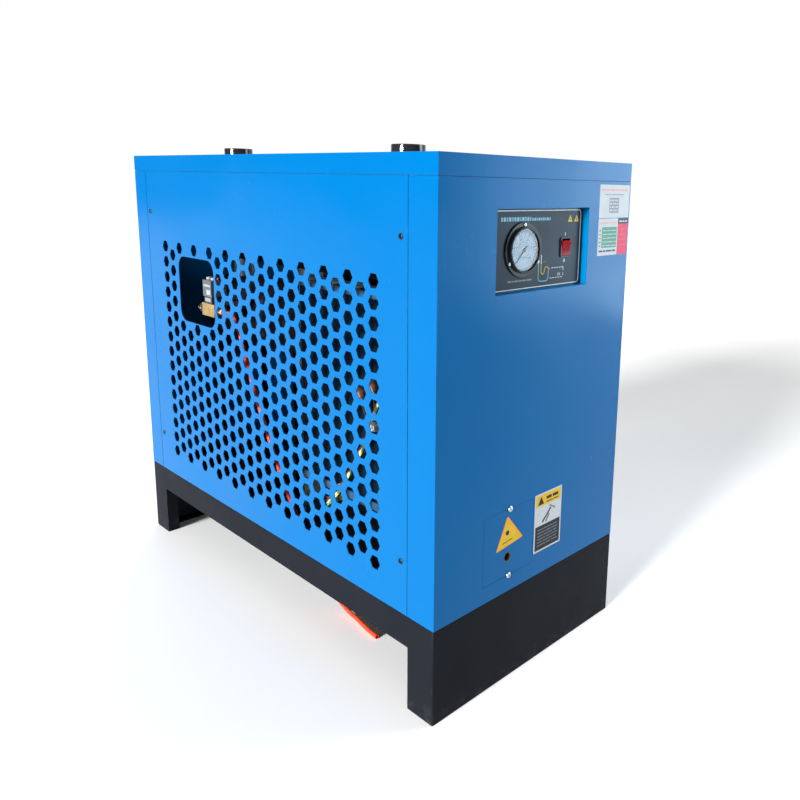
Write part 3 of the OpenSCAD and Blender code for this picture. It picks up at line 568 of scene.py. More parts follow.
blade_aluminium = worn_metal("pressed_aluminium", (0.42, 0.44, 0.46), (0.3, 0.5), (0.24, 0.24, 0.23))
# A very dark teal: the colour of the condenser fins, and painted shade where the condenser frame's end plates take it.
dark_fin_teal = moulded("dark_teal_fins", (0.009, 0.042, 0.092), (0.3, 0.5), vary=0.4)
black_gloss = powder_coat("black_gloss_paint", (0.012, 0.012, 0.014), (0.06, 0.14), 0.0005)
black_enamel = base_coat("black_enamel", (0.004, 0.0045, 0.006))
grey_enamel = powder_coat("grey_enamel", (0.035, 0.037, 0.040), (0.3, 0.45), 0.0005)
black_plastic = moulded("black_plastic", (0.018, 0.019, 0.021))
grey_plastic = moulded("grey_plastic", (0.055, 0.062, 0.070))
knob_plastic = moulded("knob_plastic", (0.20, 0.20, 0.195), (0.25, 0.4))
white_plastic = moulded("white_plastic", (0.72, 0.71, 0.67), (0.25, 0.4), coat=0.2)
contactor_plastic = moulded("contactor_plastic", (0.07, 0.075, 0.08))
black_rubber = rubbery("black_rubber")
black_foam = foam("foam_insulation")
red_plastic = glow_plastic("red_rocker", (0.22, 0.002, 0.007), 0.0010)
hose_plastic = glow_plastic("hose_polyurethane", (0.58, 0.052, 0.020), 0.0014)
lever_vinyl = moulded("red_vinyl", (0.52, 0.02, 0.012), (0.3, 0.45), coat=0.3)
plate_ink = print_ink("plate_satin_black", (0.015, 0.024, 0.038), 0.30, 0.07)
dial_blue = print_ink("dial_blue", (0.05, 0.18, 0.42))
gauge_black = moulded("gauge_black", (0.008, 0.010, 0.014), (0.30, 0.42), gloss=0.16)
terracotta = moulded("terracotta_plastic", (0.36, 0.15, 0.10), (0.35, 0.5))
white_ink = print_ink("white_ink", (0.62, 0.68, 0.72))
cyan_ink = print_ink("cyan_ink", (0.17, 0.40, 0.50))
yellow_ink = print_ink("yellow_ink", (0.52, 0.33, 0.018))
orange_ink = print_ink("orange_ink", (0.62, 0.27, 0.010))
dark_ink = print_ink("dark_ink", (0.014, 0.014, 0.016))
red_ink = print_ink("red_ink", (0.62, 0.05, 0.06))
green_ink = print_ink("green_ink", (0.06, 0.22, 0.16))
pink_ink = print_ink("pink_ink", (0.49, 0.024, 0.078))
grey_ink = print_ink("grey_ink", (0.16, 0.18, 0.20))
pale_ink = print_ink("pale_ink", (0.40, 0.42, 0.44))
label_ink = print_ink("label_ink", (0.20, 0.23, 0.25))
faded_red = print_ink("faded_red", (0.50, 0.27, 0.27))
dial_face = print_ink("dial_enamel", (0.50, 0.62, 0.74), 0.4)
lens_clear = clear_lens("gauge_window")


# ---- CAD shapes with rolled edges ----

def refined(node, material, width=0.4, segments=2, bends=None, bend_width=0, accent=None):
    """Stands for a CAD node in its own shape, with its edges rounded by width mm.

    bends(a, b) picks the edges that are folds of the sheet, which are rounded by bend_width mm.
    accent(middle) picks the faces that take the second of two materials.
    """
    source = frame["nodes"][node]
    mesh = source.data.copy()
    mesh.name = node + "_refined"
    mesh.materials.clear()
    if "custom_normal" in mesh.attributes:
        mesh.attributes.remove(mesh.attributes["custom_normal"])
    bm = bmesh.new()
    bm.from_mesh(mesh)
    bmesh.ops.remove_doubles(bm, verts=bm.verts, dist=MERGE)
    bmesh.ops.dissolve_limit(bm, angle_limit=FLAT, verts=bm.verts, edges=bm.edges)
    widest = max(width, bend_width)
    weights = bm.edges.layers.float.new("bevel_weight_edge")
    for edge in bm.edges:
        if len(edge.link_faces) != 2 or edge.calc_face_angle(0) < FOLD:
            continue
        is_bend = bends and bends(edge.verts[0].co, edge.verts[1].co)
        edge[weights] = (bend_width if is_bend else width) / widest
    for face in bm.faces:
        face.material_index = int(bool(accent and accent(face.calc_center_median())))
    bm.to_mesh(mesh)
    bm.free()
    shade(mesh)
    piece = bm_object(node + "_finished", mesh, material, source["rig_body"], slot_of[node], [node])
    bevel = piece.modifiers.new("rolled_edges", "BEVEL")
    bevel.width = widest * MM
    bevel.segments = segments
    bevel.limit_method = "WEIGHT"
    bevel.harden_normals = True
    return piece


slot_of = {part["node"]: part["material_slot"] for part in frame["record"]["subparts"]}
box_of = {node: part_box(node) for node in frame["nodes"]}


def near(a, b):
    return abs(a - b) < 0.2 * MM


def on_corners(low, high):
    """Picks upright edges at the four outside corners of a box."""
    def test(a, b):
        return all(
            any(near(p.x, x) for x in (low.x, high.x)) and any(near(p.y, y) for y in (low.y, high.y))
            for p in (a, b))
    return test


def on_rim(low, high):
    """Picks the edges that lie on two faces of a box."""
    def test(a, b):
        return sum(any(near(a[i], side) and near(b[i], side) for side in (low[i], high[i])) for i in range(3)) >= 2
    return test


# ---- Printed film ----

def rounded(points, radius, steps=5):
    """A closed outline with its corners rounded."""
    points = [Vector(p) for p in points]
    line = []
    for i, corner in enumerate(points):
        before, after = points[i - 1], points[(i + 1) % len(points)]
        start = corner + (before - corner).normalized() * radius
        end = corner + (after - corner).normalized() * radius
        for k in range(steps + 1):
            t = k / steps
            line.append((1 - t) ** 2 * start + 2 * t * (1 - t) * corner + t ** 2 * end)
    return line


def rectangle(low_x, low_y, high_x, high_y, radius=0):
    points = [(low_x, low_y), (high_x, low_y), (high_x, high_y), (low_x, high_y)]
    return rounded(points, radius) if radius else points


def arc(centre, radius, start, end, steps=24):
    """Points along a circle, with angles in degrees from straight up and clockwise."""
    return [
        Vector((centre[0] + radius * math.sin(math.radians(a)), centre[1] + radius * math.cos(math.radians(a))))
        for a in (start + (end - start) * k / steps for k in range(steps + 1))
    ]


class Film:
    """Printed shapes on one plane that faces the front. Points are in mm from its origin, x and z."""

    def __init__(self, name, origin, thickness):
        self.name = name
        self.origin = Vector(origin)
        self.thickness = thickness * MM
        self.bm = bmesh.new()
        self.materials = []

    def at(self, point):
        return self.origin + RIGHT * point[0] * MM + UP * point[1] * MM

    def index(self, material):
        if material not in self.materials:
            self.materials.append(material)
        return self.materials.index(material)

    def area(self, points, material, layer=1):
        front, back = (
            [self.bm.verts.new(self.at(p) + OUT * self.thickness * level) for p in points]
            for level in (layer, layer - 1))
        for ring in (front, back):
            self.bm.faces.new(ring).material_index = self.index(material)
        bridge(self.bm, front, back, self.index(material))

    def block(self, corners, material, layer=1, radius=0):
        self.area(rectangle(*corners, radius), material, layer)

    def line(self, points, width, material, layer=1, closed=False):
        """A line of even width, one closed quad strip."""
        points = [Vector(p[:2]) for p in points]
        count = len(points)
        sides = []
        for i, point in enumerate(points):
            before = points[i - 1] if i or closed else point
            after = points[(i + 1) % count] if i < count - 1 or closed else point
            first = (point - before).normalized() if point != before else (after - point).normalized()
            second = (after - point).normalized() if after != point else first
            way = (first + second).normalized()
            reach = width / 2 / max(0.4, way.dot(first))
            across = Vector((-way.y, way.x)) * reach
            sides.append((point + across, point - across))
        for i in range(count if closed else count - 1):
            a, b = sides[i], sides[(i + 1) % count]
            self.area([a[0], b[0], b[1], a[1]], material, layer)

    def dashes(self, x, z, height, widths, gap, material, layer=1):
        """A row of plain bars, which stands for printed words."""
        for width in widths:
            self.block((x, z, x + width, z + height), material, layer, min(width, height) * 0.2)
            x += width + gap

    def rows(self, count, x, z, pitch, height, pair, gap, material, layer):
        """Rows of bars, one below the other, with the widths of the pair by turns."""
        for row in range(count):
            self.dashes(x, z - pitch * row, height, pair[row % 2], gap, material, layer)

    def build(self, slot):
        bm_object(self.name, into_mesh(self.name, self.bm), self.materials, "cabinet", slot)


def add_figure(film, text, centre, size, material):
    """One number on a dial, as flat raised shapes."""
    curve = bpy.data.curves.new("figure", "FONT")
    curve.body = text
    curve.size = size * MM
    curve.align_x, curve.align_y = "CENTER", "CENTER"
    curve.extrude = 0.02 * MM
    holder = bpy.data.objects.new("figure", curve)
    mesh = bpy.data.meshes.new_from_object(holder)
    mesh.transform(turned(film.at(centre) + OUT * 0.03 * MM, 90))
    before = len(film.bm.faces)
    film.bm.from_mesh(mesh)
    film.bm.faces.ensure_lookup_table()
    for face in film.bm.faces[before:]:
        face.material_index = film.index(material)
    bpy.data.meshes.remove(mesh)
    bpy.data.objects.remove(holder)
    bpy.data.curves.remove(curve)


# ---- Cords and wires ----

HOSE_ROUTE = [
    (-0.198, 0.179, 0.546), (-0.198, 0.170, 0.546), (-0.198, 0.160, 0.546), (-0.198, 0.150, 0.5455),
    (-0.198, 0.140, 0.543), (-0.199, 0.130, 0.5375), (-0.199, 0.121, 0.529), (-0.1995, 0.113, 0.517),
    (-0.200, 0.105, 0.501), (-0.200, 0.096, 0.480), (-0.200, 0.082, 0.446), (-0.200, 0.060, 0.402),
    (-0.200, 0.036, 0.359), (-0.200, 0.012, 0.318), (-0.200, -0.012, 0.278), (-0.199, -0.034, 0.240),
    (-0.196, -0.054, 0.208), (-0.191, -0.070, 0.184), (-0.187, -0.081, 0.166), (-0.184, -0.088, 0.148),
    (-0.180, -0.096, 0.122), (-0.173, -0.105, 0.092), (-0.164, -0.115, 0.062), (-0.154, -0.124, 0.038),
    (-0.145, -0.134, 0.020), (-0.140, -0.147, 0.008), (-0.139, -0.162, 0.0044), (-0.141, -0.178, 0.0044),
    (-0.145, -0.200, 0.0044), (-0.148, -0.222, 0.0044), (-0.150, -0.245, 0.0044),
]
HOSE_RADIUS = 0.004
HOSE_BORE = 0.0026

WIRE_ROUTE = [
    (0.040, -0.428, 0.470), (-0.020, -0.436, 0.496), (-0.090, -0.436, 0.516), (-0.150, -0.428, 0.524),
    (-0.190, -0.418, 0.522), (-0.2055, -0.398, 0.518), (-0.207, -0.366, 0.508), (-0.211, -0.336, 0.486),
    (-0.213, -0.320, 0.452), (-0.212, -0.302, 0.414), (-0.211, -0.280, 0.378), (-0.210, -0.252, 0.338),
    (-0.208, -0.222, 0.300), (-0.206, -0.190, 0.268), (-0.192, -0.160, 0.247), (-0.150, -0.136, 0.238),
    (-0.100, -0.130, 0.236), (-0.060, -0.140, 0.240), (-0.042, -0.150, 0.246),
]
WIRE_RADIUS = 0.0015
WIRE_STEP = 0.0052
# The points of the smoothed route where ties sit
TIES_AT = (14, 33, 47, 60, 76)


def add_hose():
    """The drain hose, from its fitting to its cut end on the floor."""
    path = catmull(HOSE_ROUTE, 4)

    def build(bm):
        add_tube(bm, path, HOSE_RADIUS, 20, bore=HOSE_BORE, depth=0.03)
    hose = add_piece("drain_hose_tube", build, hose_plastic, "hose_red", ["drain_hose"])


def add_wires():
    """Earth, live and neutral leads, side by side, held by ties."""
    earth = moulded("earth_sleeve", (0.62, 0.60, 0.03), (0.25, 0.4), coat=0.3)
    earth_stripe = moulded("earth_stripe", (0.06, 0.36, 0.05), (0.25, 0.4), coat=0.3)
    pale = moulded("pale_sleeve", (0.72, 0.71, 0.66), (0.25, 0.4), coat=0.3)
    brown = moulded("brown_sleeve", (0.16, 0.06, 0.03), (0.25, 0.4), coat=0.3)
    for k, name, inks in ((-1, "earth_wire", [earth, earth_stripe]), (0, "neutral_wire", [pale]),
                          (1, "live_wire", [brown])):
        path = catmull([Vector(p) + UP * WIRE_STEP * k for p in WIRE_ROUTE], 5)

        def build(bm):
            spiral = (lambda row, side: int((side + row) % 12 < 4)) if k < 0 else None
            add_tube(bm, path, WIRE_RADIUS, 12, stripe=spiral)
        add_piece(name, build, inks, "wire_sleeve", [] if k else ["wiring"])
    add_ties()


def add_connectors():
    """Two push-on connectors and a bright plug on short leads beside the condenser."""
    leads = (
        ((-0.212, -0.318, 0.494), (-0.2125, -0.320, 0.478), (-0.213, -0.322, 0.462), (-0.2125, -0.319, 0.446)),
        ((-0.212, -0.288, 0.478), (-0.2125, -0.291, 0.462), (-0.2125, -0.299, 0.444), (-0.2125, -0.310, 0.432)),
    )

    def build(bm):
        for lead in leads:
            add_tube(bm, catmull(lead, 4), WIRE_RADIUS, 12)
    add_piece("connector_leads", build, terracotta, "wire_sleeve")

    def bodies(bm):
        for y, z in ((-0.318, 0.500), (-0.288, 0.484)):
            at = Matrix.Translation((-0.212, y, z))
            for wide, low, high in ((7.5, -7.5, 3.5), (6.2, 3.5, 6.0), (3.6, -10.5, -7.5)):
                loop = rectangle(-wide, -3.4, wide, 3.4, 1.4)
                rings = [[bm.verts.new(at @ Vector((p.y * MM, p.x * MM, h * MM))) for p in loop] for h in (low, high)]
                bm.faces.new(rings[0])
                bm.faces.new(rings[1])
                bridge(bm, *rings)
    soften(add_piece("push_on_connectors", bodies, terracotta, "wire_sleeve"), 0.5)

    def plug(bm):
        at = Vector((-0.2125, -0.3185, 0.4335))
        add_box(bm, at + Vector((-4, -9, -7)) * MM, at + Vector((4, 9, 5)) * MM, 0)
        add_box(bm, at + Vector((-3, -7.5, 5)) * MM, at + Vector((3, 7.5, 8)) * MM, 0)
        for y in (-5.5, 0, 5.5):
            add_box(bm, at + Vector((-5.0, y - 1.7, -4)) * MM, at + Vector((-4.1, y + 1.7, 4)) * MM, 1)
    soften(add_piece("bright_plug", plug, [white_plastic, nickel], "wire_sleeve"), 0.6)


def soften(piece, width):
    """Rounds the edges of a piece by width mm."""
    bevel = piece.modifiers.new("rounded_edges", "BEVEL")
    bevel.width = width * MM
    bevel.segments = 2
    bevel.limit_method = "ANGLE"
    bevel.harden_normals = True


def add_ties():
    """Cable ties round the three leads."""
    def build(bm):
        line = catmull(WIRE_ROUTE, 5)
        ways = headings(line)
        for at in TIES_AT:
            point, way = line[at], ways[at]
            side = way.cross(UP).normalized()
            up = side.cross(way)
            high, wide = WIRE_STEP + 2.6 * MM, 2.4 * MM
            outline = rectangle(-wide, -high, wide, high, 1.8 * MM)
            loop = [point + side * p.x + up * p.y for p in outline]
            inner = [point + side * p.x * 0.66 + up * p.y * 0.88 for p in outline]
            rings = [[bm.verts.new(p + way * s) for p in ring]
                     for ring, s in ((loop, -1.3 * MM), (loop, 1.3 * MM), (inner, 1.3 * MM), (inner, -1.3 * MM))]
            for i in range(4):
                bridge(bm, rings[i], rings[(i + 1) % 4])
            head = point + side * (wide + 0.6 * MM)
            add_box(bm, head - Vector((1.4, 2.2, 2.4)) * MM, head + Vector((1.4, 2.2, 2.4)) * MM)
    add_piece("cable_ties", build, white_plastic, "capacitor_white", smooth=False)


# ---- Cabinet and base ----

def add_cabinet():
    for node in ("base_front", "base_rear", "base_side_left", "base_side_right"):
        refined(node, charcoal, 0.5, 3, on_corners(*cabinet_box), 2.0)
    refined("floor_pan", charcoal, 0.4)
    refined("corner_posts", zinc_sheet, 0.4)
    for node in ("front_panel", "rear_panel"):
        refined(node, blue, 0.45, 3, on_corners(*cabinet_box), 2.2)
    for node in ("left_side_panel", "right_side_panel"):
        refined(node, blue, 0.35, 2, on_rim(*box_of[node]), 1.1)
    refined("top_cover", blue, 0.45, 3, on_rim(*box_of["top_cover"]), 2.0)
    # The recess's lighter paint is painted sunlight on its walls.
    refined("control_recess", sunlit_recess_blue, 0.35)
    refined("control_plate", plate_ink, 0.3)
    refined("access_plate", blue, 0.35)
    refined("grommets", black_rubber, 0.5)
    add_gaskets()


def add_gaskets():
    """Rubber strips inside the seams: all round below the lid, and along both end panels above the base."""
    low, high = box_of["top_cover"]
    panel_low, panel_high = box_of["front_panel"]
    wall, thick, overlap, gap = 1.6 * MM, 1.1 * MM, 4 * MM, 0.1 * MM
    pan_top = box_of["floor_pan"][1].z
    ends = ((low.y + wall, low.y + wall + thick), (high.y - wall - thick, high.y - wall))
    sides = ((low.x + wall, low.x + wall + thick), (high.x - wall - thick, high.x - wall))

    def build(bm):
        for back, front in ends:
            add_box(bm, (low.x + wall, back, panel_high.z + gap), (high.x - wall, front, low.z + overlap))
            add_box(bm, (low.x + wall, back, pan_top + gap), (high.x - wall, front, panel_low.z + overlap))
        for left, right in sides:
            add_box(bm, (left, low.y + wall + thick, panel_high.z + gap),
                    (right, high.y - wall - thick, low.z + overlap))
    add_piece("seam_gaskets", build, black_rubber, slot_of["grommets"], smooth=False)


def screw_head(bm, cutter, matrix, head, height, shank, length):
    """A pan head on a shank, and the cross that is cut into it."""
    profile = [(0, -length), (shank * 0.7, -length), (shank, -length + shank * 0.5), (shank, 0), (head * 0.96, 0),
               (head, height * 0.12), (head, height * 0.45), (head * 0.93, height * 0.70),
               (head * 0.78, height * 0.88), (head * 0.5, height * 0.98), (0, height)]
    add_lathe(bm, profile, matrix, 32)
    for wide, long in ((head * 0.13, head * 0.52), (head * 0.52, head * 0.13)):
        low, top = (
            [cutter.verts.new(matrix @ Vector((x * wide * share, y * long * share, level)))
             for x, y in ((-1, -1), (1, -1), (1, 1), (-1, 1))]
            for share, level in ((0.7, height * 0.25), (1, height * 1.3)))
        cutter.faces.new([low[k] for k in (0, 3, 2, 1)])
        cutter.faces.new(top)
        bridge(cutter, low, top)


def carved(name, mesh, cutter):
    """The mesh less the cutter's solids."""
    body = bpy.data.objects.new(name, mesh)
    knife = bpy.data.objects.new(name + "_knife", cutter)
    for o in (body, knife):
        scene.collection.objects.link(o)
    cut = body.modifiers.new("recess", "BOOLEAN")
    cut.object = knife
    cut.operation = "DIFFERENCE"
    cut.solver = "EXACT"
    cut.use_self = True
    bpy.context.view_layer.update()
    result = bpy.data.meshes.new_from_object(body.evaluated_get(bpy.context.evaluated_depsgraph_get()))
    result.name = name
    for o in (body, knife):
        bpy.data.objects.remove(o)
    return result


# Heights of the screw heads: on the sides and rear, on the gauge, and on the access plate
SIDE_HEAD, SMALL_HEAD, TALL_HEAD = 1.8 * MM, 1.7 * MM, 2.6 * MM
SMALL_RADIUS = 4 * MM
# How far each screw's cross is turned from the one before
SCREW_TURN = 0.7


def screw_set(name, node, material, slot):
    """Cross-recessed screws where the CAD node's own screws are."""
    heads, knives = bmesh.new(), bmesh.new()
    outer_low, outer_high = cabinet_box
    for turn, (low, high) in enumerate(islands(node)):
        seat = (low + high) / 2
        axis = 0 if low.x < outer_low.x or high.x > outer_high.x else 1
        sign = -1 if seat[axis] < 0 else 1
        radius = (high.z - low.z) / 2
        on_front = axis == 1 and sign < 0
        height = (SIDE_HEAD if not on_front else SMALL_HEAD if radius < SMALL_RADIUS else TALL_HEAD)
        seat[axis] = (high[axis] - height) if sign > 0 else (low[axis] + height)
        out = Vector((0, 0, 0))
        out[axis] = sign
        matrix = (Matrix.Translation(seat) @ out.to_track_quat("Z", "Y").to_matrix().to_4x4()
                  @ Matrix.Rotation(turn * SCREW_TURN, 4, "Z"))
        screw_head(heads, knives, matrix, radius, height, radius * 0.5, (high - low)[axis] - height)
    mesh = carved(name, into_mesh(name, heads), into_mesh(name + "_cut", knives))
    shade(mesh, 40)
    bm_object(name, mesh, material, "cabinet", slot, [node])


# ---- Front controls ----

def add_gauge():
    low, high = box_of["gauge_dial"]
    middle = (low + high) / 2
    rim = (high.x - low.x) / 2 - 0.1 * MM
    refined("gauge_case", gauge_black, 0.5, 3)
    refined("gauge_needle", dark_ink, 0.12)
    front = turned((middle.x, low.y, middle.z), 90)

    def face(bm):
        add_lathe(bm, [(1.7 * MM, -0.9 * MM), (rim, -0.9 * MM), (rim, -0.2 * MM), (rim - 0.2 * MM, 0),
                       (1.7 * MM, 0), (1.7 * MM, -0.9 * MM)], front, 96)
    add_piece("gauge_dial_face", face, dial_face, "dial_white", ["gauge_dial"])

    marks = Film("gauge_marks", (middle.x, low.y, middle.z), 0.04)
    sweep, divisions = 270, 40

    def spoke(k, count):
        """The direction of mark k, with count steps over the whole scale."""
        angle = math.radians(-sweep / 2 + sweep * k / count)
        return Vector((math.sin(angle), math.cos(angle)))
    for k in range(divisions + 1):
        way = spoke(k, divisions)
        inner, width = (22.4, 1.1) if k % 8 == 0 else (24.0, 0.8) if k % 4 == 0 else (25.8, 0.5)
        marks.line([way * inner, way * 28.4], width, dark_ink)
    marks.line(arc((0, 0), 28.4, -sweep / 2, sweep / 2, 90), 0.6, dark_ink, 2)
    marks.line(arc((0, 0), 30.4, -45, 20, 30), 1.2, green_ink)
    marks.line(arc((0, 0), 30.4, 70, 135, 30), 1.2, red_ink)
    marks.line(arc((0, 0), 12.4, -sweep / 2, sweep / 2, 60), 0.6, dial_blue)
    for k in range(28):
        way = spoke(k, 27)
        marks.line([way * (10.6 if k % 3 == 0 else 11.5), way * 12.4], 0.45, dial_blue, 2)
    for k in range(6):
        add_figure(marks, str(2 * k), 18.0 * spoke(k, 5), 7.2, dark_ink)
    marks.dashes(-7.5, -12.4, 1.8, (4.0, 2.6, 6.6), 0.9, dial_blue)
    marks.build("dial_white")

    low, high = box_of["gauge_lens"]
    radius, back = (high.x - low.x) / 2, high.y - low.y
    outer = turned(((low.x + high.x) / 2, high.y, (low.z + high.z) / 2), 90)

    def lens(bm):
        crown = [(radius * math.sin(a), back * (0.55 + 0.45 * math.cos(a)))
                 for a in (math.radians(90 - 10 * k) for k in range(10))]
        add_lathe(bm, [(0, 0), (radius, 0), *crown[:-1], (0, back)], outer, 96)
    add_piece("gauge_window", lens, lens_clear, "lens_clear", ["gauge_lens"])


def add_plate_print():
    low, high = box_of["control_plate"]
    middle = (low + high) / 2
    film = Film("plate_print", (middle.x, low.y, middle.z), 0.05)
    edge_x, edge_z = (high.x - low.x) / 2 / MM - 6.2, (high.z - low.z) / 2 / MM - 2.2
    film.line(rectangle(-edge_x, -edge_z, edge_x, edge_z, 6), 1.3, white_ink, closed=True)
    film.dashes(-91, 43.5, 6.2, (3.2, 5, 2.6, 5.4, 2.8, 4.6, 5, 2.4, 5.2, 3, 4.4, 2.6), 2.0, cyan_ink)
    film.dashes(-20, 43.8, 4.4, (3, 4, 2.2, 4.2, 2.6, 3.6, 2.4, 4, 2.6), 2.0, cyan_ink)
    for x in (75.8, 92.8):
        film.area(rounded([(x - 6.4, 40.5), (x + 6.4, 40.5), (x, 51.5)], 0.8), yellow_ink)
        film.area(arc((x, 44.2), 1.5, 0, 345, 14), dark_ink, 2)
    film.dashes(-73, -48, 2.2, (8, 4, 10, 6, 9, 12), 1.4, grey_ink)
    film.line([(64.2, 18.4), (64.2, 23.2)], 1.1, white_ink)
    film.line(arc((63.4, -21.6), 2.1, 0, 340, 18), 0.8, white_ink, closed=True)
    add_flow_diagram(film)
    film.build("panel_black")


def add_flow_diagram(film):
    """Two pipes that bend round each other, and a dashed loop beside them."""
    film.line([(-1.2, -19), (-1.2, -45)] + arc((5.4, -45), 6.6, 270, 180, 8) + [(17, -51.6)]
              + arc((17, -45), 6.6, 180, 90, 8) + [(23.6, -34)], 1.2, cyan_ink)
    film.line([(5.2, -10), (5.2, -36)] + arc((9.4, -36), 4.2, 270, 90, 12)
              + arc((18.6, -34), 5.0, -90, 60, 12) + [(27, -33)], 1.3, yellow_ink, 2)
    film.line([(5.2, -10), (5.2, -24)], 1.35, white_ink, 3)
    for first, pitch, dash, z in ((32, 6.4, 4, -32), (28, 6.8, 4.2, -48)):
        for k in range(5):
            x = first + pitch * k
            film.line([(x, z), (x + dash, z)], 0.9, white_ink)
    for top, bottom in ((-32, -37.5), (-41.5, -46)):
        film.line([(62, top), (62, bottom)], 0.9, white_ink)
    film.block((47, -45.4, 55, -40.6), grey_ink, 1, 0.8)
    film.line([(11, -21), (18, -21)], 0.8, grey_ink)


def add_stickers():
    """Plain labels on the front, with blocks and bars in place of words and signs."""
    low, high = box_of["front_panel"]
    film = Film("front_labels", (0, low.y, 0), 0.06)
    film.area(rounded([(-97, 236), (-32, 243.5), (-71, 291)], 4), orange_ink)
    film.area(rounded([(-91.5, 239.2), (-39, 245.2), (-70.6, 283.2)], 3), yellow_ink, 2)
    film.area(arc((-70.5, 262), 4.2, 0, 345, 22), dark_ink, 3)
    film.line([(-82, 246.2), (-58, 249)], 1.4, dark_ink, 3)

    film.block((-3, 199.5, 69, 304), pale_ink, 1, 1.5)
    film.block((0, 281, 66, 301), yellow_ink, 2)
    film.block((0, 246.5, 66, 280.2), pale_ink, 2)
    film.block((0, 202.5, 66, 246), dark_ink, 2)
    film.area(rounded([(5, 284), (21, 284), (13, 298.5)], 1), dark_ink, 3)
    film.dashes(27, 290, 5.4, (14, 15), 3, dark_ink, 3)
    film.dashes(27, 284.6, 1.8, (18, 13), 2, dark_ink, 3)
    film.line([(18, 251), (30, 262), (40, 272)], 3.6, dark_ink, 3)
    film.line([(27, 249.5), (36, 262)], 2.6, dark_ink, 3)
    film.line([(36, 277), (52, 268)], 3.2, grey_ink, 3)
    film.rows(6, 6, 238, 5.6, 1.3, ((14, 24, 10), (22, 12, 16)), 2, grey_ink, 3)

    film.block((138, 757.5, 227, 813), pale_ink, 1, 1.5)
    film.dashes(144, 802.5, 3.4, (12, 8, 14, 9, 16, 7), 2.0, faded_red, 2)
    film.dashes(152, 796.0, 1.4, (18, 12, 24), 2.0, grey_ink, 2)
    film.block((167, 766, 195, 791), grey_ink, 2, 1)
    film.rows(4, 169, 768.5, -5.6, 3.2, ((6, 2.6, 5, 3), (3, 6, 2.4, 5)), 2.2, pale_ink, 3)

    film.block((138, 694, 196, 756.5), pale_ink, 1, 1)
    film.dashes(143, 748, 2.4, (10, 14, 8, 12), 2, faded_red, 2)
    film.block((149, 707, 193, 742), green_ink, 2)
    film.rows(5, 152, 735.5, 6.4, 1.4, ((9, 12, 14), (12, 16, 8)), 2, pale_ink, 3)
    film.rows(5, 141, 735.5, 6.4, 1.4, ((5.5,), (5.5,)), 2, dark_ink, 2)
    film.dashes(142, 700, 3.0, (11, 7, 16, 10), 2, dark_ink, 2)
    film.block((196.6, 694, 227, 756.5), pink_ink, 1, 1)
    film.block((196.6, 747, 227, 756.5), dark_ink, 2, 1)
    film.dashes(200, 750, 2.6, (8, 5, 7), 2, pale_ink, 3)
    film.rows(4, 201, 737, 9, 2.0, ((7, 12), (10, 8)), 1.6, red_ink, 2)
    film.build("panel_black")


# ---- Air side ----

def add_air_sockets():
    """Two gloss black sockets with a pipe thread cut inside."""
    sides, rows, rise = 64, 6, 40 * MM

    def build(bm):
        for low, high in islands("air_sockets"):
            outer, top = (high.x - low.x) / 2, high.z
            core, crest, pitch, depth = 22.4 * MM, 23.9 * MM, 2.31 * MM, 28.6 * MM
            at = Matrix.Translation(((low.x + high.x) / 2, (low.y + high.y) / 2, top))
            add_lathe(bm, [(18 * MM, low.z - top), (24 * MM, low.z - top), (24 * MM, -rise),
                           (outer - 1.6 * MM, -rise), (outer - 0.5 * MM, -rise + 0.4 * MM),
                           (outer, -rise + 1.6 * MM), (outer, -1.8 * MM), (outer - 0.5 * MM, -0.5 * MM),
                           (outer - 1.8 * MM, 0), (crest + 1.2 * MM, 0), (crest, -1.4 * MM)], at, sides)
            rings = []
            for row in range(int(depth / pitch * rows) + 1):
                ring = []
                for k in range(sides):
                    angle = math.tau * k / sides
                    radius = core + (crest - core) * abs(2 * ((row / rows + k / sides) % 1) - 1)
                    ring.append(bm.verts.new(at @ Vector((
                        radius * math.cos(angle), radius * math.sin(angle), -1.4 * MM - row * pitch / rows))))
                rings.append(ring)
            for a, b in zip(rings, rings[1:]):
                bridge(bm, a, b)
            end = -1.4 * MM - depth
            add_lathe(bm, [(crest, end), (18 * MM, end - 0.2 * MM), (18 * MM, low.z - top)], at, sides)
    add_piece("threaded_sockets", build, black_gloss, "socket_black", ["air_sockets"])


def add_air_side():
    add_air_sockets()
    refined("precooler_shell", black_foam, 2.5, 3)
    refined("evaporator_shell", black_foam, 2.5, 3)
    tape = moulded("wrap_tape", (0.003, 0.0035, 0.005), (0.4, 0.55), gloss=0.2)

    def bands(bm):
        for node in ("precooler_shell", "evaporator_shell"):
            low, high = box_of[node]
            radius = (high.z - low.z) / 2 + 0.35 * MM
            for share in (0.12, 0.38, 0.62, 0.88):
                y = low.y + (high.y - low.y) * share
                at = turned(((low.x + high.x) / 2, y, (low.z + high.z) / 2), -90)
                add_lathe(bm, [(radius - 0.8 * MM, -14 * MM), (radius, -13.6 * MM), (radius, 13.6 * MM),
                               (radius - 0.8 * MM, 14 * MM)], at, 64)
    add_piece("wrap_bands", bands, tape, "insulation")


# ---- Condenser and machinery ----

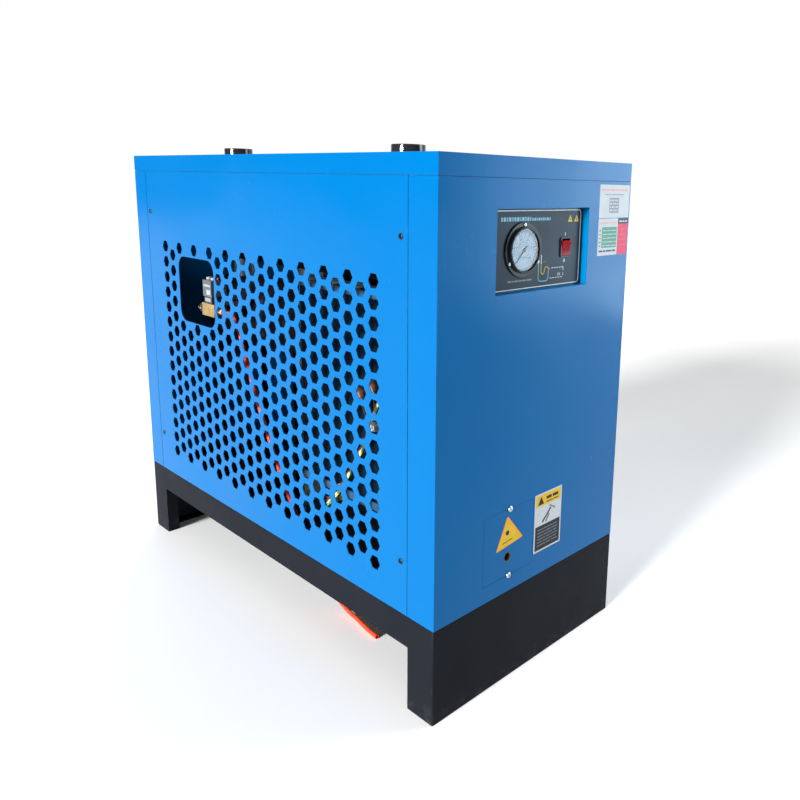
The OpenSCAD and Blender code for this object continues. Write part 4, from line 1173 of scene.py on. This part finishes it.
def add_condenser():
    """A pack of thin fins with tube ends, in its frame: galvanised channels at top and bottom, and end plates dark
    with painted shade.
    """
    floor, top = box_of["condenser_fins"][0].z, box_of["condenser_fins"][1].z
    # Only the frame's top and bottom channels take zinc. The end plates take the dark fin colour as painted shade, for
    # the shade they stand in.
    refined("condenser_frame", [dark_fin_teal, zinc_sheet], 0.5, accent=lambda p: p.z > top or 0.5 * floor < p.z < floor)
    refined("condenser_tubes", copper, 0.2)
    low, high = box_of["condenser_fins"]
    pitch, thick = 2.2 * MM, 0.22 * MM

    def build(bm):
        for k in range(int((high.y - low.y) / pitch)):
            y = low.y + pitch * (k + 0.5)
            lean = 0.25 * MM * math.sin(k * 1.7)
            add_box(bm, (low.x, y - thick / 2 + lean, low.z), (high.x, y + thick / 2 + lean, high.z))
    add_piece("condenser_fin_pack", build, dark_fin_teal, "fin_dark", ["condenser_fins"], smooth=False)

    def runs(bm):
        count, radius, stub = 15, 4 * MM, 6 * MM
        length = high.y - low.y + 2 * stub
        for k in range(count):
            z = low.z + (high.z - low.z) * (k + 0.5) / count
            for share in (0.28, 0.72):
                at = turned((low.x + (high.x - low.x) * share, low.y - stub, z), -90)
                add_lathe(bm, [(0, 0), (radius, 0), (radius, length), (0, length)], at, 12)
    add_piece("condenser_runs", runs, copper, "copper")


def add_machinery():
    """The inner nodes that keep their CAD shape, with the width of their rolled edges in mm."""
    for node, material, width in (
            # The exchanger cradles take black enamel as painted shade, so that they read as dark as the shade deep
            # inside the cabinet.
            ("air_links", grey_enamel, 0.6), ("exchanger_cradles", black_enamel, 0.4), ("separator", grey_enamel, 0.8),
            ("fan_shroud", black_enamel, 0.5), ("fan_guard", black_enamel, 0.2), ("fan_motor", black_enamel, 1.2),
            ("fan_shaft", ground_steel, 0.4), ("fan_blades", blade_aluminium, 0.5),
            ("compressor_shell", black_enamel, 1.0), ("compressor_mounts", black_rubber, 0.6),
            ("compressor_bolts", bright_zinc, 0.4), ("terminal_cover", black_plastic, 1.5),
            ("refrigerant_lines", copper, 0.2), ("filter_drier", copper, 0.6), ("capillary_tubes", copper, 0.1),
            ("hot_gas_valve", brass, 0.4), ("electrical_box", zinc_sheet, 0.4), ("contactor", contactor_plastic, 0.8),
            ("run_capacitor", white_plastic, 1.2)):
        refined(node, material, width)


# ---- Drain, behind the hand window ----

def add_drain():
    for node, material, width in (
            ("drain_pipe", black_foam, 0.2), ("ball_valve", brass, 0.5), ("valve_lever", lever_vinyl, 0.6),
            ("drain_coil", black_plastic, 1.2), ("drain_timer", grey_plastic, 1.6),
            ("interval_knob", knob_plastic, 0.5), ("open_time_knob", knob_plastic, 0.5),
            ("test_button", lever_vinyl, 0.5), ("hose_fitting", nickel, 0.4)):
        refined(node, material, width, 3)
    inlet = box_of["drain_valve"][1].y - 11 * MM
    refined("drain_valve", [brass, nickel], 0.7, 3, accent=lambda p: p.y > inlet)
    low, high = box_of["drain_coil"]
    timer_low, timer_high = box_of["drain_timer"]

    def label(bm):
        add_box(bm, (low.x - 0.08 * MM, low.y + 4 * MM, low.z + 5 * MM), (low.x, high.y - 4 * MM, low.z + 12 * MM))
        add_box(bm, (timer_low.x - 0.08 * MM, timer_low.y + 4 * MM, timer_high.z - 13 * MM),
                (timer_low.x, timer_high.y - 4 * MM, timer_high.z - 9 * MM), 1)
        add_box(bm, (timer_low.x - 0.08 * MM, timer_low.y + 4 * MM, timer_low.z + 4 * MM),
                (timer_low.x, timer_low.y + 20 * MM, timer_low.z + 14 * MM), 1)
    add_piece("timer_labels", label, [grey_ink, label_ink], "timer_grey", smooth=False)

    fit_low, fit_high = box_of["hose_fitting"]
    middle = (fit_low + fit_high) / 2
    along = turned((middle.x, fit_low.y, middle.z), -90)
    collar = moulded("release_collar", (0.55, 0.02, 0.02), (0.25, 0.4), coat=0.3)
    tape = moulded("thread_tape", (0.80, 0.80, 0.78), (0.5, 0.7))

    def rings(bm):
        add_lathe(bm, [(4.3 * MM, 0), (7.1 * MM, 0.1 * MM), (7.4 * MM, 0.9 * MM), (7.4 * MM, 2.2 * MM),
                       (6.2 * MM, 2.6 * MM)], along, 32, 0)
        add_lathe(bm, [(5.9 * MM, 4.6 * MM), (6.5 * MM, 4.7 * MM), (6.5 * MM, 5.9 * MM), (5.9 * MM, 6.0 * MM)],
                  along, 32, 1)
    add_piece("fitting_rings", rings, [collar, tape], "fitting_nickel")


cabinet_box = (Vector((box_of["top_cover"][0].x, box_of["top_cover"][0].y, 0)), Vector(box_of["top_cover"][1]))

add_camera()
add_world()
add_lights()
add_floor()
add_hose()
add_wires()
add_connectors()
add_cabinet()
screw_set("panel_screw_heads", "panel_screws", black_oxide, "screw_black")
screw_set("bright_screw_heads", "bright_screws", bright_zinc, "screw_zinc")
add_gauge()
refined("switch_bezel", gauge_black, 0.5, 3)
refined("switch_rocker", red_plastic, 0.9, 4)
add_plate_print()
add_stickers()
add_air_side()
add_condenser()
add_machinery()
add_drain()
